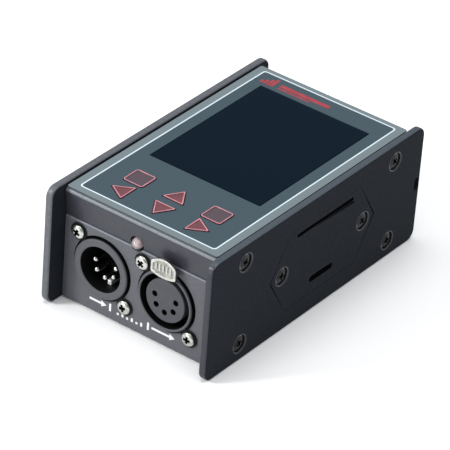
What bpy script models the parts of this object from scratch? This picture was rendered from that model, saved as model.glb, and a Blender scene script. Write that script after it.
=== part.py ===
"""Hand-held tester for stage-lighting control lines, built from folded sheet metal.

Metres, +Z up. The connectors face -Y and the keys are on top. The origin is at the
middle of the underside. Two cheeks hold a top cover and a base shell between them.
Pieces that touch keep the gap SEAT between their faces.
"""

import math

import bmesh
import bpy
from mathutils import Matrix, Vector

# Cheeks
CHEEK_LENGTH = 0.1145
CHEEK_HEIGHT = 0.0437
CHEEK_THICKNESS = 0.0028
CHEEK_CORNER = 0.0036
CHEEK_EDGE = 0.0003
STRAP_SLOT_WIDTH = 0.0024
STRAP_SLOT_HEIGHT = 0.0050
STRAP_SLOT_MARGIN = 0.0008
SLOT_END_SHARE = 0.45

# Body between the cheeks
BODY_WIDTH = 0.0610
SHEET = 0.0012
BEND = 0.0018
FLOOR_BEND = 0.0014
NOSE_RECESS_FRONT = 0.00565
NOSE_RECESS_REAR = 0.00465
PANEL_SETBACK = 0.00155
PANEL_TOP_LIFT = 0.0138
PANEL_LEDGE = 0.0005
FLANGE_DEPTH = 0.0085
FLANGE_END = 0.0030
FLANGE_INSET = 0.0002
SEAT = 0.0003

# Screws
SCREW_RADIUS = 0.0015
SCREW_LENGTH = 0.0051
SCREW_POINT = 0.00045
SUNK_HEAD_RADIUS = 0.0029
SUNK_HEAD_RIM = 0.0003
SUNK_DEPTH = 0.0004
PLATE_SCREW_LENGTH = 0.0022
PANEL_SCREW_HEAD_RADIUS = 0.0025
PANEL_SCREW_HEAD_HEIGHT = 0.0013
PANEL_SCREW_LENGTH = 0.0042
PAN_HEAD_SHAPE = ((1.0, 0.45), (0.86, 0.82), (0.55, 1.0))
RECESS_WIDTH = 0.0006
RECESS_SPAN = 0.0026
RECESS_DEPTH = 0.0007
CHEEK_SCREW_INSET_Y = 0.0118
CHEEK_SCREW_INSET_Z = 0.0065

# Overlay, window and display
OVERLAY_DROP = 0.0007
OVERLAY_THICKNESS = 0.0006
OVERLAY_MARGIN_X = 0.0003
OVERLAY_MARGIN_Y = 0.0009
OVERLAY_CORNER = 0.0008
WINDOW_WIDTH = 0.0438
WINDOW_LENGTH = 0.0592
WINDOW_LEDGE = 0.0010
WINDOW_MARGIN = 0.0095
DISPLAY_BORDER = 0.0025
DISPLAY_THICKNESS = 0.0036

# Keys
KEY_PITCH_X = 0.0155
KEY_PITCH_Y = 0.00925
KEY_MARGIN = 0.0036
KEYS_TO_WINDOW = 0.0030
KEY_SQUARE = 0.0078
KEY_TRIANGLE_BASE = 0.0082
KEY_TRIANGLE_HEIGHT = 0.0068
KEY_CORNER = 0.0010
KEY_POINT = 0.0006
KEY_PROUD = 0.0003
KEY_TRAVEL = 0.0004
KEY_REST_GAP = 0.0002
KEY_LIP_WIDTH = 0.0106
KEY_LIP_LENGTH = 0.0050
KEY_LIP_THICKNESS = 0.0009
KEY_GAP = 0.0003
SWITCH_SIZE = 0.0052

# Boards
BOARD_THICKNESS = 0.0016
BOARD_MARGIN_X = 0.0010
BOARD_MARGIN_Y = 0.0040
SPACER_RADIUS = 0.0018
SPACER_INSET_X = 0.0009
SPACER_BACK = 0.0022
CONNECTOR_BOARD_EDGE = 0.0045

# Connectors
CONNECTOR_SPACING = 0.0007
CONNECTOR_OFFSET_X = -0.00165
CONNECTOR_HEIGHT = 0.0180
COLLAR_TO_SCREW = 0.0008
SCREW_TO_FLANGE_EDGE = 0.0027
CONNECTOR_FLANGE_THICKNESS = 0.0025
CONNECTOR_FLANGE_CORNER = 0.0020
CONNECTOR_DEPTH = 0.0190
COLLAR_RADIUS = 0.0107
COLLAR_PROUD = 0.0012
COLLAR_ROUND = 0.0005
COLLAR_ROUND_SHARE = 0.7
MALE_BORE_RADIUS = 0.0081
COLLAR_WALL = 0.00095
SHELL_STEP = 0.0013
SHELL_FLOOR = 0.0028
CAVITY_DEPTH = 0.0146
CARRIER_THICKNESS = 0.0033
CARRIER_HOLE_RADIUS = 0.0065
GROOVE_WIDTH = 0.00205
INSERT_SHOULDER = 0.0020
INSERT_RECESS = 0.0005
CONTACT_CIRCLE = 0.0043
CONTACT_STEP = math.radians(52)
PIN_RADIUS = 0.0010
PIN_RECESS = 0.0022
KEY_RIDGE_WIDTH = 0.0016
KEY_RIDGE_HEIGHT = 0.0015
KEY_RIDGE_LENGTH = 0.0053
SOCKET_RADIUS = 0.00105
SOCKET_DEPTH = 0.0100

# Release tab
TAB_WIDTH = 0.0098
TAB_END_HEIGHT = 0.0040
TAB_THICKNESS = 0.0010
TAB_PROUD = 0.0029
TAB_TRAVEL = 0.0012
TAB_LIFT = 0.0105
TAB_LOWER_BULGE = 0.0009
TAB_UPPER_BULGE = 0.0020
STEM_WIDTH = 0.0060
STEM_THICKNESS = 0.0012
STEM_LIFT = 0.0098
STEM_REACH = 0.0080
HOOK_DEPTH = 0.0008
HOOK_LENGTH = 0.0022
SPRING_RADIUS = 0.0006
SPRING_WIRE = 0.00022
SPRING_LENGTH = 0.0036
SPRING_TURNS = 5

# Lamp, socket, battery
LAMP_RADIUS = 0.0023
LAMP_LIFT = 0.0015
LAMP_PROUD = 0.0015
LAMP_RIM = 0.0005
LAMP_RIM_THICKNESS = 0.0010
SOCKET_OPENING_WIDTH = 0.0078
SOCKET_OPENING_HEIGHT = 0.0030
SOCKET_WALL = 0.0005
SOCKET_CORNER = 0.0005
SOCKET_RIM = 0.0018
SOCKET_RIM_THICKNESS = 0.0015
CHARGE_DEPTH = 0.0080
CHARGE_X = -0.0140
CHARGE_HEIGHT = 0.0190
BATTERY_WIDTH = 0.0480
BATTERY_LENGTH = 0.0620
BATTERY_THICKNESS = 0.0095
BATTERY_CORNER = 0.0030

# Side plate of the right cheek
PLATE_CENTRE_Y = 0.0027
PLATE_LENGTH = 0.0560
PLATE_FLAT = 0.0380
PLATE_HEIGHT = 0.0288
PLATE_CORNER = 0.0008
PLATE_THICKNESS = 0.0009
PLATE_SCREW_SPACING = 0.0440
LONG_SLOT_LENGTH = 0.0305
LONG_SLOT_WIDTH = 0.0014
LONG_SLOT_LIFT = 0.0119
SHORT_SLOT_LENGTH = 0.0125
SHORT_SLOT_WIDTH = 0.0028
SHORT_SLOT_DROP = 0.0092
WEDGE_LENGTH = 0.0238
WEDGE_RISE = 0.0008
WEDGE_SINK = 0.0001
WEDGE_END = 0.0151

# Spare length of the top, shared by the gaps before the keys and before the window
FRONT_SHARE = 0.2275
MIDDLE_SHARE = 0.575

# Smoothness of round shapes
CORNER_STEPS = 4
BEND_STEPS = 4
RING_SIDES = 32
SMALL_SIDES = 12
LAMP_SIDES = 16
PIN_SIDES = 10
SPRING_STEPS = 9

# Places worked out from the sizes
CHEEK_INNER_X = BODY_WIDTH / 2
CHEEK_OUTER_X = CHEEK_INNER_X + CHEEK_THICKNESS
BODY_END_X = CHEEK_INNER_X - SEAT
FLANGE_OUTER_X = BODY_END_X - FLANGE_INSET
FLANGE_INNER_X = FLANGE_OUTER_X - SHEET
NOSE_FRONT_Y = -CHEEK_LENGTH / 2 + NOSE_RECESS_FRONT
NOSE_REAR_Y = CHEEK_LENGTH / 2 - NOSE_RECESS_REAR
BODY_CENTRE_Y = (NOSE_FRONT_Y + NOSE_REAR_Y) / 2
PANEL_FRONT_Y = NOSE_FRONT_Y + PANEL_SETBACK
PANEL_REAR_Y = NOSE_REAR_Y - PANEL_SETBACK
PANEL_HEIGHT = CONNECTOR_HEIGHT + PANEL_TOP_LIFT
LAMP_HEIGHT = PANEL_HEIGHT + LAMP_LIFT
OVERLAY_TOP = CHEEK_HEIGHT - OVERLAY_DROP
OVERLAY_BOTTOM = OVERLAY_TOP - OVERLAY_THICKNESS
DECK_TOP = OVERLAY_BOTTOM - SEAT
DECK_BOTTOM = DECK_TOP - SHEET
DISPLAY_TOP = DECK_BOTTOM - SEAT
BOARD_TOP = DISPLAY_TOP - DISPLAY_THICKNESS - SEAT
BOARD_BOTTOM = BOARD_TOP - BOARD_THICKNESS
SCREW_ROWS_Y = (
    BODY_CENTRE_Y - (NOSE_REAR_Y - NOSE_FRONT_Y) / 2 + CHEEK_SCREW_INSET_Y,
    BODY_CENTRE_Y + (NOSE_REAR_Y - NOSE_FRONT_Y) / 2 - CHEEK_SCREW_INSET_Y,
)
SCREW_ROWS_Z = (CHEEK_SCREW_INSET_Z, CHEEK_HEIGHT - CHEEK_SCREW_INSET_Z)
KEYS_LENGTH = KEY_TRIANGLE_BASE / 2 + KEY_PITCH_Y + KEY_SQUARE / 2
SPARE_LENGTH = (
    NOSE_REAR_Y - NOSE_FRONT_Y - KEY_MARGIN - KEYS_LENGTH - KEYS_TO_WINDOW - WINDOW_LENGTH - WINDOW_MARGIN
)
KEY_FRONT_ROW_Y = NOSE_FRONT_Y + KEY_MARGIN + SPARE_LENGTH * FRONT_SHARE + KEY_TRIANGLE_BASE / 2
KEY_REAR_ROW_Y = KEY_FRONT_ROW_Y + KEY_PITCH_Y
WINDOW_FRONT_Y = KEY_REAR_ROW_Y + KEY_SQUARE / 2 + KEYS_TO_WINDOW + SPARE_LENGTH * MIDDLE_SHARE
WINDOW_CENTRE_Y = WINDOW_FRONT_Y + WINDOW_LENGTH / 2
DISPLAY_WIDTH = WINDOW_WIDTH + 2 * DISPLAY_BORDER
DISPLAY_LENGTH = WINDOW_LENGTH + 2 * DISPLAY_BORDER
CONNECTOR_SCREW_OFFSET = (COLLAR_RADIUS + COLLAR_TO_SCREW + PANEL_SCREW_HEAD_RADIUS) / math.sqrt(2)
CONNECTOR_FLANGE = 2 * (CONNECTOR_SCREW_OFFSET + SCREW_TO_FLANGE_EDGE)
CONNECTOR_PITCH = CONNECTOR_FLANGE + CONNECTOR_SPACING
FEMALE_BORE_RADIUS = COLLAR_RADIUS - COLLAR_WALL
INSERT_RADIUS = FEMALE_BORE_RADIUS - GROOVE_WIDTH
SHELL_RADIUS = COLLAR_RADIUS + SHELL_STEP
MALE_X = CONNECTOR_OFFSET_X - CONNECTOR_PITCH / 2
FEMALE_X = CONNECTOR_OFFSET_X + CONNECTOR_PITCH / 2
COLLAR_FRONT_Y = PANEL_FRONT_Y - COLLAR_PROUD
FLANGE_FRONT_Y = PANEL_FRONT_Y + SHEET + SEAT
FLANGE_REAR_Y = FLANGE_FRONT_Y + CONNECTOR_FLANGE_THICKNESS
CAVITY_FLOOR_Y = COLLAR_FRONT_Y + CAVITY_DEPTH
SHELL_REAR_Y = CAVITY_FLOOR_Y + SHELL_FLOOR
CONNECTOR_REAR_Y = PANEL_FRONT_Y + CONNECTOR_DEPTH
PLATE_CENTRE_Z = CHEEK_HEIGHT / 2


# Outlines in a plane

def direction_of(start, end):
    """Unit vector from one plane point to another."""
    step = Vector(end) - Vector(start)
    return step.normalized()


def rounded_path(points, radius, steps, closed):
    """The points of a path with each corner replaced by an arc of the given radius."""
    count = len(points)
    path = []
    for index in range(count):
        corner = Vector(points[index])
        if not closed and index in (0, count - 1):
            path.append(corner)
            continue
        to_last = direction_of(corner, points[index - 1])
        to_next = direction_of(corner, points[(index + 1) % count])
        half_angle = to_last.angle(to_next) / 2
        setback = radius / math.tan(half_angle)
        middle = corner + (to_last + to_next).normalized() * radius / math.sin(half_angle)
        first = corner + to_last * setback - middle
        last = corner + to_next * setback - middle
        sweep = first.angle_signed(last)
        for step in range(steps + 1):
            turn = Matrix.Rotation(-sweep * step / steps, 2)
            path.append(middle + turn @ first)
    return path


def offset_path(points, distance, closed):
    """The path moved to its left by a distance, with mitred corners."""
    count = len(points)
    moved = []
    for index in range(count):
        here = Vector(points[index])
        normals = []
        if closed or index > 0:
            step = direction_of(points[index - 1], here)
            normals.append(Vector((-step.y, step.x)))
        if closed or index < count - 1:
            step = direction_of(here, points[(index + 1) % count])
            normals.append(Vector((-step.y, step.x)))
        mitre = (normals[0] + normals[-1]).normalized()
        moved.append(here + mitre * distance / mitre.dot(normals[0]))
    return moved


def rectangle(width, length, centre=(0, 0)):
    """Corners of a rectangle, counter-clockwise."""
    x, y = centre
    half_x, half_y = width / 2, length / 2
    return [(x - half_x, y - half_y), (x + half_x, y - half_y),
            (x + half_x, y + half_y), (x - half_x, y + half_y)]


def rounded_rectangle(width, length, radius, centre=(0, 0), steps=CORNER_STEPS):
    """A rectangle with round corners."""
    return rounded_path(rectangle(width, length, centre), radius, steps, True)


def circle(radius, sides, centre=(0, 0)):
    """Points of a circle, counter-clockwise."""
    turn = 2 * math.pi / sides
    return [(centre[0] + radius * math.cos(turn * side), centre[1] + radius * math.sin(turn * side))
            for side in range(sides)]


def dome(radius, front, angles):
    """Profile of a half round end: (radius, place) from the tip at front to the full radius."""
    return [(radius * math.sin(math.radians(angle)), front + radius * (1 - math.cos(math.radians(angle))))
            for angle in angles]


def folded_sheet(outer_path, thickness, bend, steps):
    """Closed outline of a bent sheet whose outer face runs along a path."""
    outer = rounded_path(outer_path, bend, steps, False)
    inner = rounded_path(offset_path(outer_path, thickness, False), bend - thickness, steps, False)
    return outer + inner[::-1]


def key_outline(shape, centre, grow=0.0):
    """Outline of a key, grown on all sides by a clearance."""
    x, y = centre
    if shape == "square":
        side = KEY_SQUARE + 2 * grow
        return rounded_rectangle(side, side, KEY_CORNER + grow, centre, 3)
    half_base, half_height = KEY_TRIANGLE_BASE / 2, KEY_TRIANGLE_HEIGHT / 2
    corners = [(half_base, -half_height), (0, half_height), (-half_base, -half_height)]
    turn = Matrix.Rotation(math.radians({"up": 0, "left": 90, "down": 180, "right": -90}[shape]), 2)
    placed = [turn @ Vector(corner) + Vector((x, y)) for corner in corners]
    return rounded_path(offset_path(placed, -grow, True), KEY_POINT + grow, 3, True)


# Solids

AXIS_FRAMES = {
    "X": Matrix(((0, 0, 1, 0), (1, 0, 0, 0), (0, 1, 0, 0), (0, 0, 0, 1))),
    "Y": Matrix(((1, 0, 0, 0), (0, 0, 1, 0), (0, 1, 0, 0), (0, 0, 0, 1))),
    "Z": Matrix.Identity(4),
}


def add_prism(mesh, outline, axis, start, end):
    """Extrude an outline along an axis. Plane points are (y, z), (x, z) or (x, y)."""
    frame = AXIS_FRAMES[axis]
    bottom = [mesh.verts.new(frame @ Vector((a, b, start))) for a, b in outline]
    face = mesh.faces.new(bottom)
    grown = bmesh.ops.extrude_face_region(mesh, geom=[face])["geom"]
    shift = frame.to_3x3() @ Vector((0, 0, end - start))
    moved = [item for item in grown if isinstance(item, bmesh.types.BMVert)]
    bmesh.ops.translate(mesh, vec=shift, verts=moved)


def add_box(mesh, low, high):
    """A box between two corners."""
    low, high = Vector(low), Vector(high)
    outline = rectangle(high.x - low.x, high.y - low.y, ((low.x + high.x) / 2, (low.y + high.y) / 2))
    add_prism(mesh, outline, "Z", low.z, high.z)


def add_turned(mesh, profile, axis, centre, sides, closed=False):
    """Spin a profile of (radius, place along the axis) round an axis.

    An open profile starts and ends on the axis. A closed one makes a ring.
    """
    frame = AXIS_FRAMES[axis]
    middle = frame @ Vector((centre[0], centre[1], 0))
    spokes = []
    for radius, place in profile:
        if radius == 0:
            spokes.append([mesh.verts.new(middle + frame @ Vector((0, 0, place)))] * sides)
            continue
        ring = circle(radius, sides)
        spokes.append([mesh.verts.new(middle + frame @ Vector((a, b, place))) for a, b in ring])
    last = len(spokes) if closed else len(spokes) - 1
    for index in range(last):
        ring, following = spokes[index], spokes[(index + 1) % len(spokes)]
        for side in range(sides):
            after = (side + 1) % sides
            corners = [ring[side], ring[after], following[after], following[side]]
            mesh.faces.new(list(dict.fromkeys(corners)))


def clear_objects():
    """Remove everything that the file starts with."""
    for item in list(bpy.data.objects):
        bpy.data.objects.remove(item, do_unlink=True)


def finish(name, colour, roughness, metallic=0.0, alpha=1.0):
    """A Principled BSDF material."""
    material = bpy.data.materials.new(name)
    material.use_nodes = True
    shader = material.node_tree.nodes["Principled BSDF"]
    shader.inputs["Base Color"].default_value = (*colour, 1.0)
    shader.inputs["Roughness"].default_value = roughness
    shader.inputs["Metallic"].default_value = metallic
    shader.inputs["Alpha"].default_value = alpha
    return material


def place(name, mesh, origin=(0, 0, 0)):
    """Turn a mesh in world coordinates into an object with its origin at a point."""
    origin = Vector(origin)
    bmesh.ops.translate(mesh, vec=-origin, verts=mesh.verts)
    bmesh.ops.recalc_face_normals(mesh, faces=mesh.faces)
    data = bpy.data.meshes.new(name)
    mesh.to_mesh(data)
    mesh.free()
    item = bpy.data.objects.new(name, data)
    item.location = origin
    bpy.context.scene.collection.objects.link(item)
    return item


def piece(name, mesh, material, origin=(0, 0, 0), smooth_angle=30):
    """A sub-part of the tester."""
    item = place(name, mesh, origin)
    item.data.materials.append(material)
    item.data.shade_smooth()
    item.data.set_sharp_from_angle(angle=math.radians(smooth_angle))
    return item


def tool(name, mesh):
    """A shape that only cuts or joins another."""
    item = place(name, mesh)
    item.hide_render = True
    item.display_type = "WIRE"
    return item


def combine(item, helper, operation):
    """Add a Boolean that cuts or joins."""
    change = item.modifiers.new(helper.name, "BOOLEAN")
    change.operation = operation
    change.solver = "EXACT"
    change.object = helper


def cut(item, helper):
    combine(item, helper, "DIFFERENCE")


def join(item, helper):
    combine(item, helper, "UNION")


# Shapes that several pieces share

def screw_places_on_cheek():
    """Every (y, z) where a corner screw goes through a cheek."""
    return [(y, z) for y in SCREW_ROWS_Y for z in SCREW_ROWS_Z]


def connector_screw_places(centre_x):
    """The two (x, z) where a connector is screwed to the panel."""
    offset = CONNECTOR_SCREW_OFFSET
    return [(centre_x - offset, CONNECTOR_HEIGHT + offset), (centre_x + offset, CONNECTOR_HEIGHT - offset)]


def contact_places(centre_x):
    """The five (x, z) of a connector's contacts, an open circle below the middle."""
    places = []
    for number in range(-2, 3):
        angle = CONTACT_STEP * number
        places.append((centre_x + CONTACT_CIRCLE * math.sin(angle),
                       CONNECTOR_HEIGHT - CONTACT_CIRCLE * math.cos(angle)))
    return places


def key_plan():
    """Name, shape and centre of each key."""
    front, rear = KEY_FRONT_ROW_Y, KEY_REAR_ROW_Y
    lean = (KEY_SQUARE - KEY_TRIANGLE_HEIGHT) / 2
    return [
        ("key_square_left", "square", (-KEY_PITCH_X, rear)),
        ("key_up", "up", (0, rear + lean)),
        ("key_square_right", "square", (KEY_PITCH_X, rear)),
        ("key_left", "left", (-KEY_PITCH_X - lean, front)),
        ("key_down", "down", (0, front - lean)),
        ("key_right", "right", (KEY_PITCH_X + lean, front)),
    ]


def plate_outline(grow=0.0):
    """The side plate's long hexagon in (y, z), grown by a clearance."""
    half, flat, height = PLATE_LENGTH / 2, PLATE_FLAT / 2, PLATE_HEIGHT / 2
    corners = [(-flat, -height), (flat, -height), (half, 0), (flat, height), (-flat, height), (-half, 0)]
    placed = [(PLATE_CENTRE_Y + y, PLATE_CENTRE_Z + z) for y, z in corners]
    return rounded_path(offset_path(placed, -grow, True), PLATE_CORNER, 2, True)


def plate_slots(mesh, start, end):
    """The long and the short slot of the side plate."""
    half_screws = PLATE_SCREW_SPACING / 2
    long_centre = (PLATE_CENTRE_Y, PLATE_CENTRE_Z + LONG_SLOT_LIFT)
    short_centre = (PLATE_CENTRE_Y, PLATE_CENTRE_Z - SHORT_SLOT_DROP)
    for centre, length, width in ((long_centre, LONG_SLOT_LENGTH, LONG_SLOT_WIDTH),
                                  (short_centre, SHORT_SLOT_LENGTH, SHORT_SLOT_WIDTH)):
        outline = rounded_rectangle(length, width, width * SLOT_END_SHARE, centre, 2)
        add_prism(mesh, outline, "X", start, end)
    for y in (PLATE_CENTRE_Y - half_screws, PLATE_CENTRE_Y + half_screws):
        add_sunk_hole(mesh, 1, y, PLATE_CENTRE_Z)


def add_sunk_hole(mesh, side, y, z):
    """A hole through a cheek, countersunk for a flat head that lies just under the outer face."""
    hole, wide = SCREW_RADIUS + SEAT, SUNK_HEAD_RADIUS + SEAT * math.sqrt(2)
    rim_x = CHEEK_OUTER_X - SUNK_DEPTH - SUNK_HEAD_RIM
    start, end = CHEEK_INNER_X - CHEEK_THICKNESS, CHEEK_OUTER_X + CHEEK_THICKNESS
    profile = [(0, start), (hole, start), (hole, rim_x - wide + hole), (wide, rim_x), (wide, end), (0, end)]
    add_turned(mesh, [(radius, side * x) for radius, x in profile], "X", (y, z), SMALL_SIDES)


def pan_head():
    """The profile of a pan head, from its seat face at z = 0 up to the middle of its top."""
    radius, height = PANEL_SCREW_HEAD_RADIUS, PANEL_SCREW_HEAD_HEIGHT
    dome = [(radius * across, height * up) for across, up in PAN_HEAD_SHAPE]
    return [(SCREW_RADIUS, 0), (radius, 0)] + dome + [(0, height)]


def sunk_head():
    """The profile of a flat cone head, from the foot of its cone up to the middle of its top at z = 0."""
    radius, rim = SUNK_HEAD_RADIUS, SUNK_HEAD_RIM
    return [(SCREW_RADIUS, SCREW_RADIUS - radius - rim), (radius, -rim), (radius, 0), (0, 0)]


def screw_mesh(head, length):
    """A screw along +Z with a crossed recess, from its head's profile. Its point lies at z = -length."""
    radius, head_height = SCREW_RADIUS, head[-1][1]
    mesh = bmesh.new()
    thread = [(0, -length), (radius - SCREW_POINT, -length), (radius, SCREW_POINT - length)]
    add_turned(mesh, thread + head, "Z", (0, 0), SMALL_SIDES)
    body = place("screw_blank", mesh)
    recess = bmesh.new()
    span, width = RECESS_SPAN / 2, RECESS_WIDTH / 2
    arm = [(width, -span), (width, -width), (span, -width)]
    cross = [Matrix.Rotation(math.radians(90 * quarter), 2) @ Vector(point)
             for quarter in range(4) for point in arm]
    add_prism(recess, cross, "Z", head_height - RECESS_DEPTH, head_height + RECESS_DEPTH)
    cutter = tool("screw_recess", recess)
    cut(body, cutter)
    evaluated = body.evaluated_get(bpy.context.evaluated_depsgraph_get())
    data = bpy.data.meshes.new_from_object(evaluated)
    data.shade_smooth()
    data.set_sharp_from_angle(angle=math.radians(35))
    bpy.data.objects.remove(body)
    bpy.data.objects.remove(cutter)
    return data


def place_screw(name, data, material, location, outward):
    """Put a copy of a screw with its head pointing outward."""
    item = bpy.data.objects.new(name, data.copy())
    item.data.materials.clear()
    item.data.materials.append(material)
    item.location = location
    item.rotation_euler = Vector(outward).to_track_quat("Z", "Y").to_euler()
    bpy.context.scene.collection.objects.link(item)


# Pieces

def make_cheek(name, side, material):
    """An end cheek. Side is -1 for the left one and 1 for the right one."""
    mesh = bmesh.new()
    outline = rounded_rectangle(CHEEK_LENGTH, CHEEK_HEIGHT, CHEEK_CORNER, (0, CHEEK_HEIGHT / 2), 5)
    add_prism(mesh, outline, "X", side * CHEEK_INNER_X, side * CHEEK_OUTER_X)
    cheek = piece(name, mesh, material)
    bevel = cheek.modifiers.new("edge", "BEVEL")
    bevel.width = CHEEK_EDGE
    bevel.segments = 1
    bevel.limit_method = "ANGLE"
    bevel.angle_limit = math.radians(60)
    holes = bmesh.new()
    start, end = side * (CHEEK_INNER_X - CHEEK_THICKNESS), side * (CHEEK_OUTER_X + CHEEK_THICKNESS)
    for y, z in screw_places_on_cheek():
        add_sunk_hole(holes, side, y, z)
    slot_y = CHEEK_LENGTH / 2 - STRAP_SLOT_MARGIN - STRAP_SLOT_WIDTH / 2
    slot = rounded_rectangle(STRAP_SLOT_WIDTH, STRAP_SLOT_HEIGHT, STRAP_SLOT_WIDTH * SLOT_END_SHARE,
                             (slot_y, PLATE_CENTRE_Z))
    add_prism(holes, slot, "X", start, end)
    cut(cheek, tool(name + "_holes", holes))
    return cheek


def make_side_plate(cheek, material):
    """The plate let into the right cheek, with its slots and its rising tongue."""
    pocket = bmesh.new()
    floor_x = CHEEK_OUTER_X - PLATE_THICKNESS - SEAT
    add_prism(pocket, plate_outline(SEAT), "X", floor_x, CHEEK_OUTER_X + PLATE_THICKNESS)
    cut(cheek, tool("plate_pocket", pocket))
    openings = bmesh.new()
    plate_slots(openings, CHEEK_INNER_X - CHEEK_THICKNESS, CHEEK_OUTER_X + CHEEK_THICKNESS)
    slots = tool("plate_slots", openings)
    cut(cheek, slots)

    mesh = bmesh.new()
    inner_x = CHEEK_OUTER_X - PLATE_THICKNESS
    add_prism(mesh, plate_outline(), "X", inner_x, CHEEK_OUTER_X)
    plate = piece("side_plate", mesh, material)
    wedge = bmesh.new()
    end_y = PLATE_CENTRE_Y + WEDGE_END
    root_x = CHEEK_OUTER_X - PLATE_THICKNESS / 2
    ramp = [(CHEEK_OUTER_X - WEDGE_SINK, end_y - WEDGE_LENGTH), (root_x, end_y - WEDGE_LENGTH),
            (root_x, end_y), (CHEEK_OUTER_X + WEDGE_RISE, end_y)]
    low_z = PLATE_CENTRE_Z - SHORT_SLOT_DROP + SHORT_SLOT_WIDTH / 2 + SEAT
    high_z = PLATE_CENTRE_Z + LONG_SLOT_LIFT - LONG_SLOT_WIDTH / 2 - SEAT
    add_prism(wedge, ramp, "Z", low_z, high_z)
    join(plate, tool("plate_tongue", wedge))
    cut(plate, slots)


def make_top_cover(material):
    """The folded cover: deck, front and rear band, and a flange along each cheek."""
    foot_front = (PANEL_FRONT_Y + PANEL_LEDGE, PANEL_HEIGHT + SEAT)
    foot_rear = (PANEL_REAR_Y - PANEL_LEDGE, PANEL_HEIGHT + SEAT)
    path = [foot_rear, (NOSE_REAR_Y, DECK_TOP), (NOSE_FRONT_Y, DECK_TOP), foot_front]
    mesh = bmesh.new()
    add_prism(mesh, folded_sheet(path, SHEET, BEND, BEND_STEPS), "X", -BODY_END_X, BODY_END_X)
    cover = piece("top_cover", mesh, material)
    flanges = bmesh.new()
    start, end = PANEL_FRONT_Y + SHEET + FLANGE_END, PANEL_REAR_Y - SHEET - FLANGE_END
    for side in (-1, 1):
        xs = sorted((side * FLANGE_INNER_X, side * FLANGE_OUTER_X))
        add_box(flanges, (xs[0], start, DECK_BOTTOM - FLANGE_DEPTH), (xs[1], end, DECK_TOP - SHEET / 2))
    join(cover, tool("cover_flanges", flanges))

    openings = bmesh.new()
    width, length = WINDOW_WIDTH - 2 * WINDOW_LEDGE, WINDOW_LENGTH - 2 * WINDOW_LEDGE
    window = rectangle(width, length, (0, WINDOW_CENTRE_Y))
    add_prism(openings, window, "Z", DECK_BOTTOM - SHEET, DECK_TOP + SHEET)
    for _, shape, centre in key_plan():
        add_prism(openings, key_outline(shape, centre, KEY_GAP), "Z", DECK_BOTTOM - SHEET, DECK_TOP + SHEET)
    add_flange_holes(openings, SCREW_ROWS_Z[1])
    lamp_hole(openings)
    cut(cover, tool("cover_openings", openings))


def add_flange_holes(mesh, height):
    """Holes for the cheek screws in both flanges of a cover or shell."""
    for side in (-1, 1):
        for y in SCREW_ROWS_Y:
            hole = circle(SCREW_RADIUS + SEAT, SMALL_SIDES, (y, height))
            add_prism(mesh, hole, "X", side * (FLANGE_INNER_X - SHEET), side * (BODY_END_X + SHEET))


def lamp_hole(mesh):
    """The hole of the status lamp, shared by the band and the panel's upper edge."""
    hole = circle(LAMP_RADIUS + SEAT, LAMP_SIDES, (CONNECTOR_OFFSET_X, LAMP_HEIGHT))
    add_prism(mesh, hole, "Y", NOSE_FRONT_Y - SHEET, PANEL_FRONT_Y + 2 * SHEET)


def make_base_shell(material):
    """The folded shell: connector panel, floor, rear panel and a flange along each cheek."""
    path = [(PANEL_FRONT_Y, PANEL_HEIGHT), (PANEL_FRONT_Y, 0),
            (PANEL_REAR_Y, 0), (PANEL_REAR_Y, PANEL_HEIGHT)]
    mesh = bmesh.new()
    add_prism(mesh, folded_sheet(path, SHEET, FLOOR_BEND, BEND_STEPS), "X", -BODY_END_X, BODY_END_X)
    shell = piece("base_shell", mesh, material)
    flanges = bmesh.new()
    start, end = PANEL_FRONT_Y + SHEET + FLANGE_END, PANEL_REAR_Y - SHEET - FLANGE_END
    for side in (-1, 1):
        xs = sorted((side * FLANGE_INNER_X, side * FLANGE_OUTER_X))
        add_box(flanges, (xs[0], start, SHEET / 2), (xs[1], end, SHEET + FLANGE_DEPTH))
    join(shell, tool("shell_flanges", flanges))

    openings = bmesh.new()
    start, end = PANEL_FRONT_Y - SHEET, PANEL_FRONT_Y + 2 * SHEET
    for centre_x in (MALE_X, FEMALE_X):
        hole = circle(COLLAR_RADIUS + SEAT, RING_SIDES, (centre_x, CONNECTOR_HEIGHT))
        add_prism(openings, hole, "Y", start, end)
        for x, z in connector_screw_places(centre_x):
            add_prism(openings, circle(SCREW_RADIUS + SEAT, SMALL_SIDES, (x, z)), "Y", start, end)
    add_flange_holes(openings, SCREW_ROWS_Z[0])
    socket = charging_outline(SOCKET_WALL + SEAT)
    add_prism(openings, socket, "Y", PANEL_REAR_Y - 2 * SHEET, PANEL_REAR_Y + SHEET)
    cut(shell, tool("shell_openings", openings))
    lamp = bmesh.new()
    lamp_hole(lamp)
    cut(shell, tool("shell_lamp_notch", lamp))
    stem = bmesh.new()
    stem_channel(stem, start, end)
    cut(shell, tool("shell_stem_notch", stem))


def charging_outline(grow):
    """The charging socket's opening in (x, z), grown on all sides."""
    return rounded_rectangle(SOCKET_OPENING_WIDTH + 2 * grow, SOCKET_OPENING_HEIGHT + 2 * grow,
                             SOCKET_CORNER + grow, (CHARGE_X, CHARGE_HEIGHT), 3)


def stem_channel(mesh, start, end):
    """The way that the release tab's stem slides in, open to the bore below it."""
    half = STEM_WIDTH / 2 + SEAT
    low = CONNECTOR_HEIGHT + FEMALE_BORE_RADIUS - HOOK_DEPTH - SEAT
    high = CONNECTOR_HEIGHT + STEM_LIFT + STEM_THICKNESS + SEAT
    add_box(mesh, (FEMALE_X - half, start, low), (FEMALE_X + half, end, high))


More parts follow.
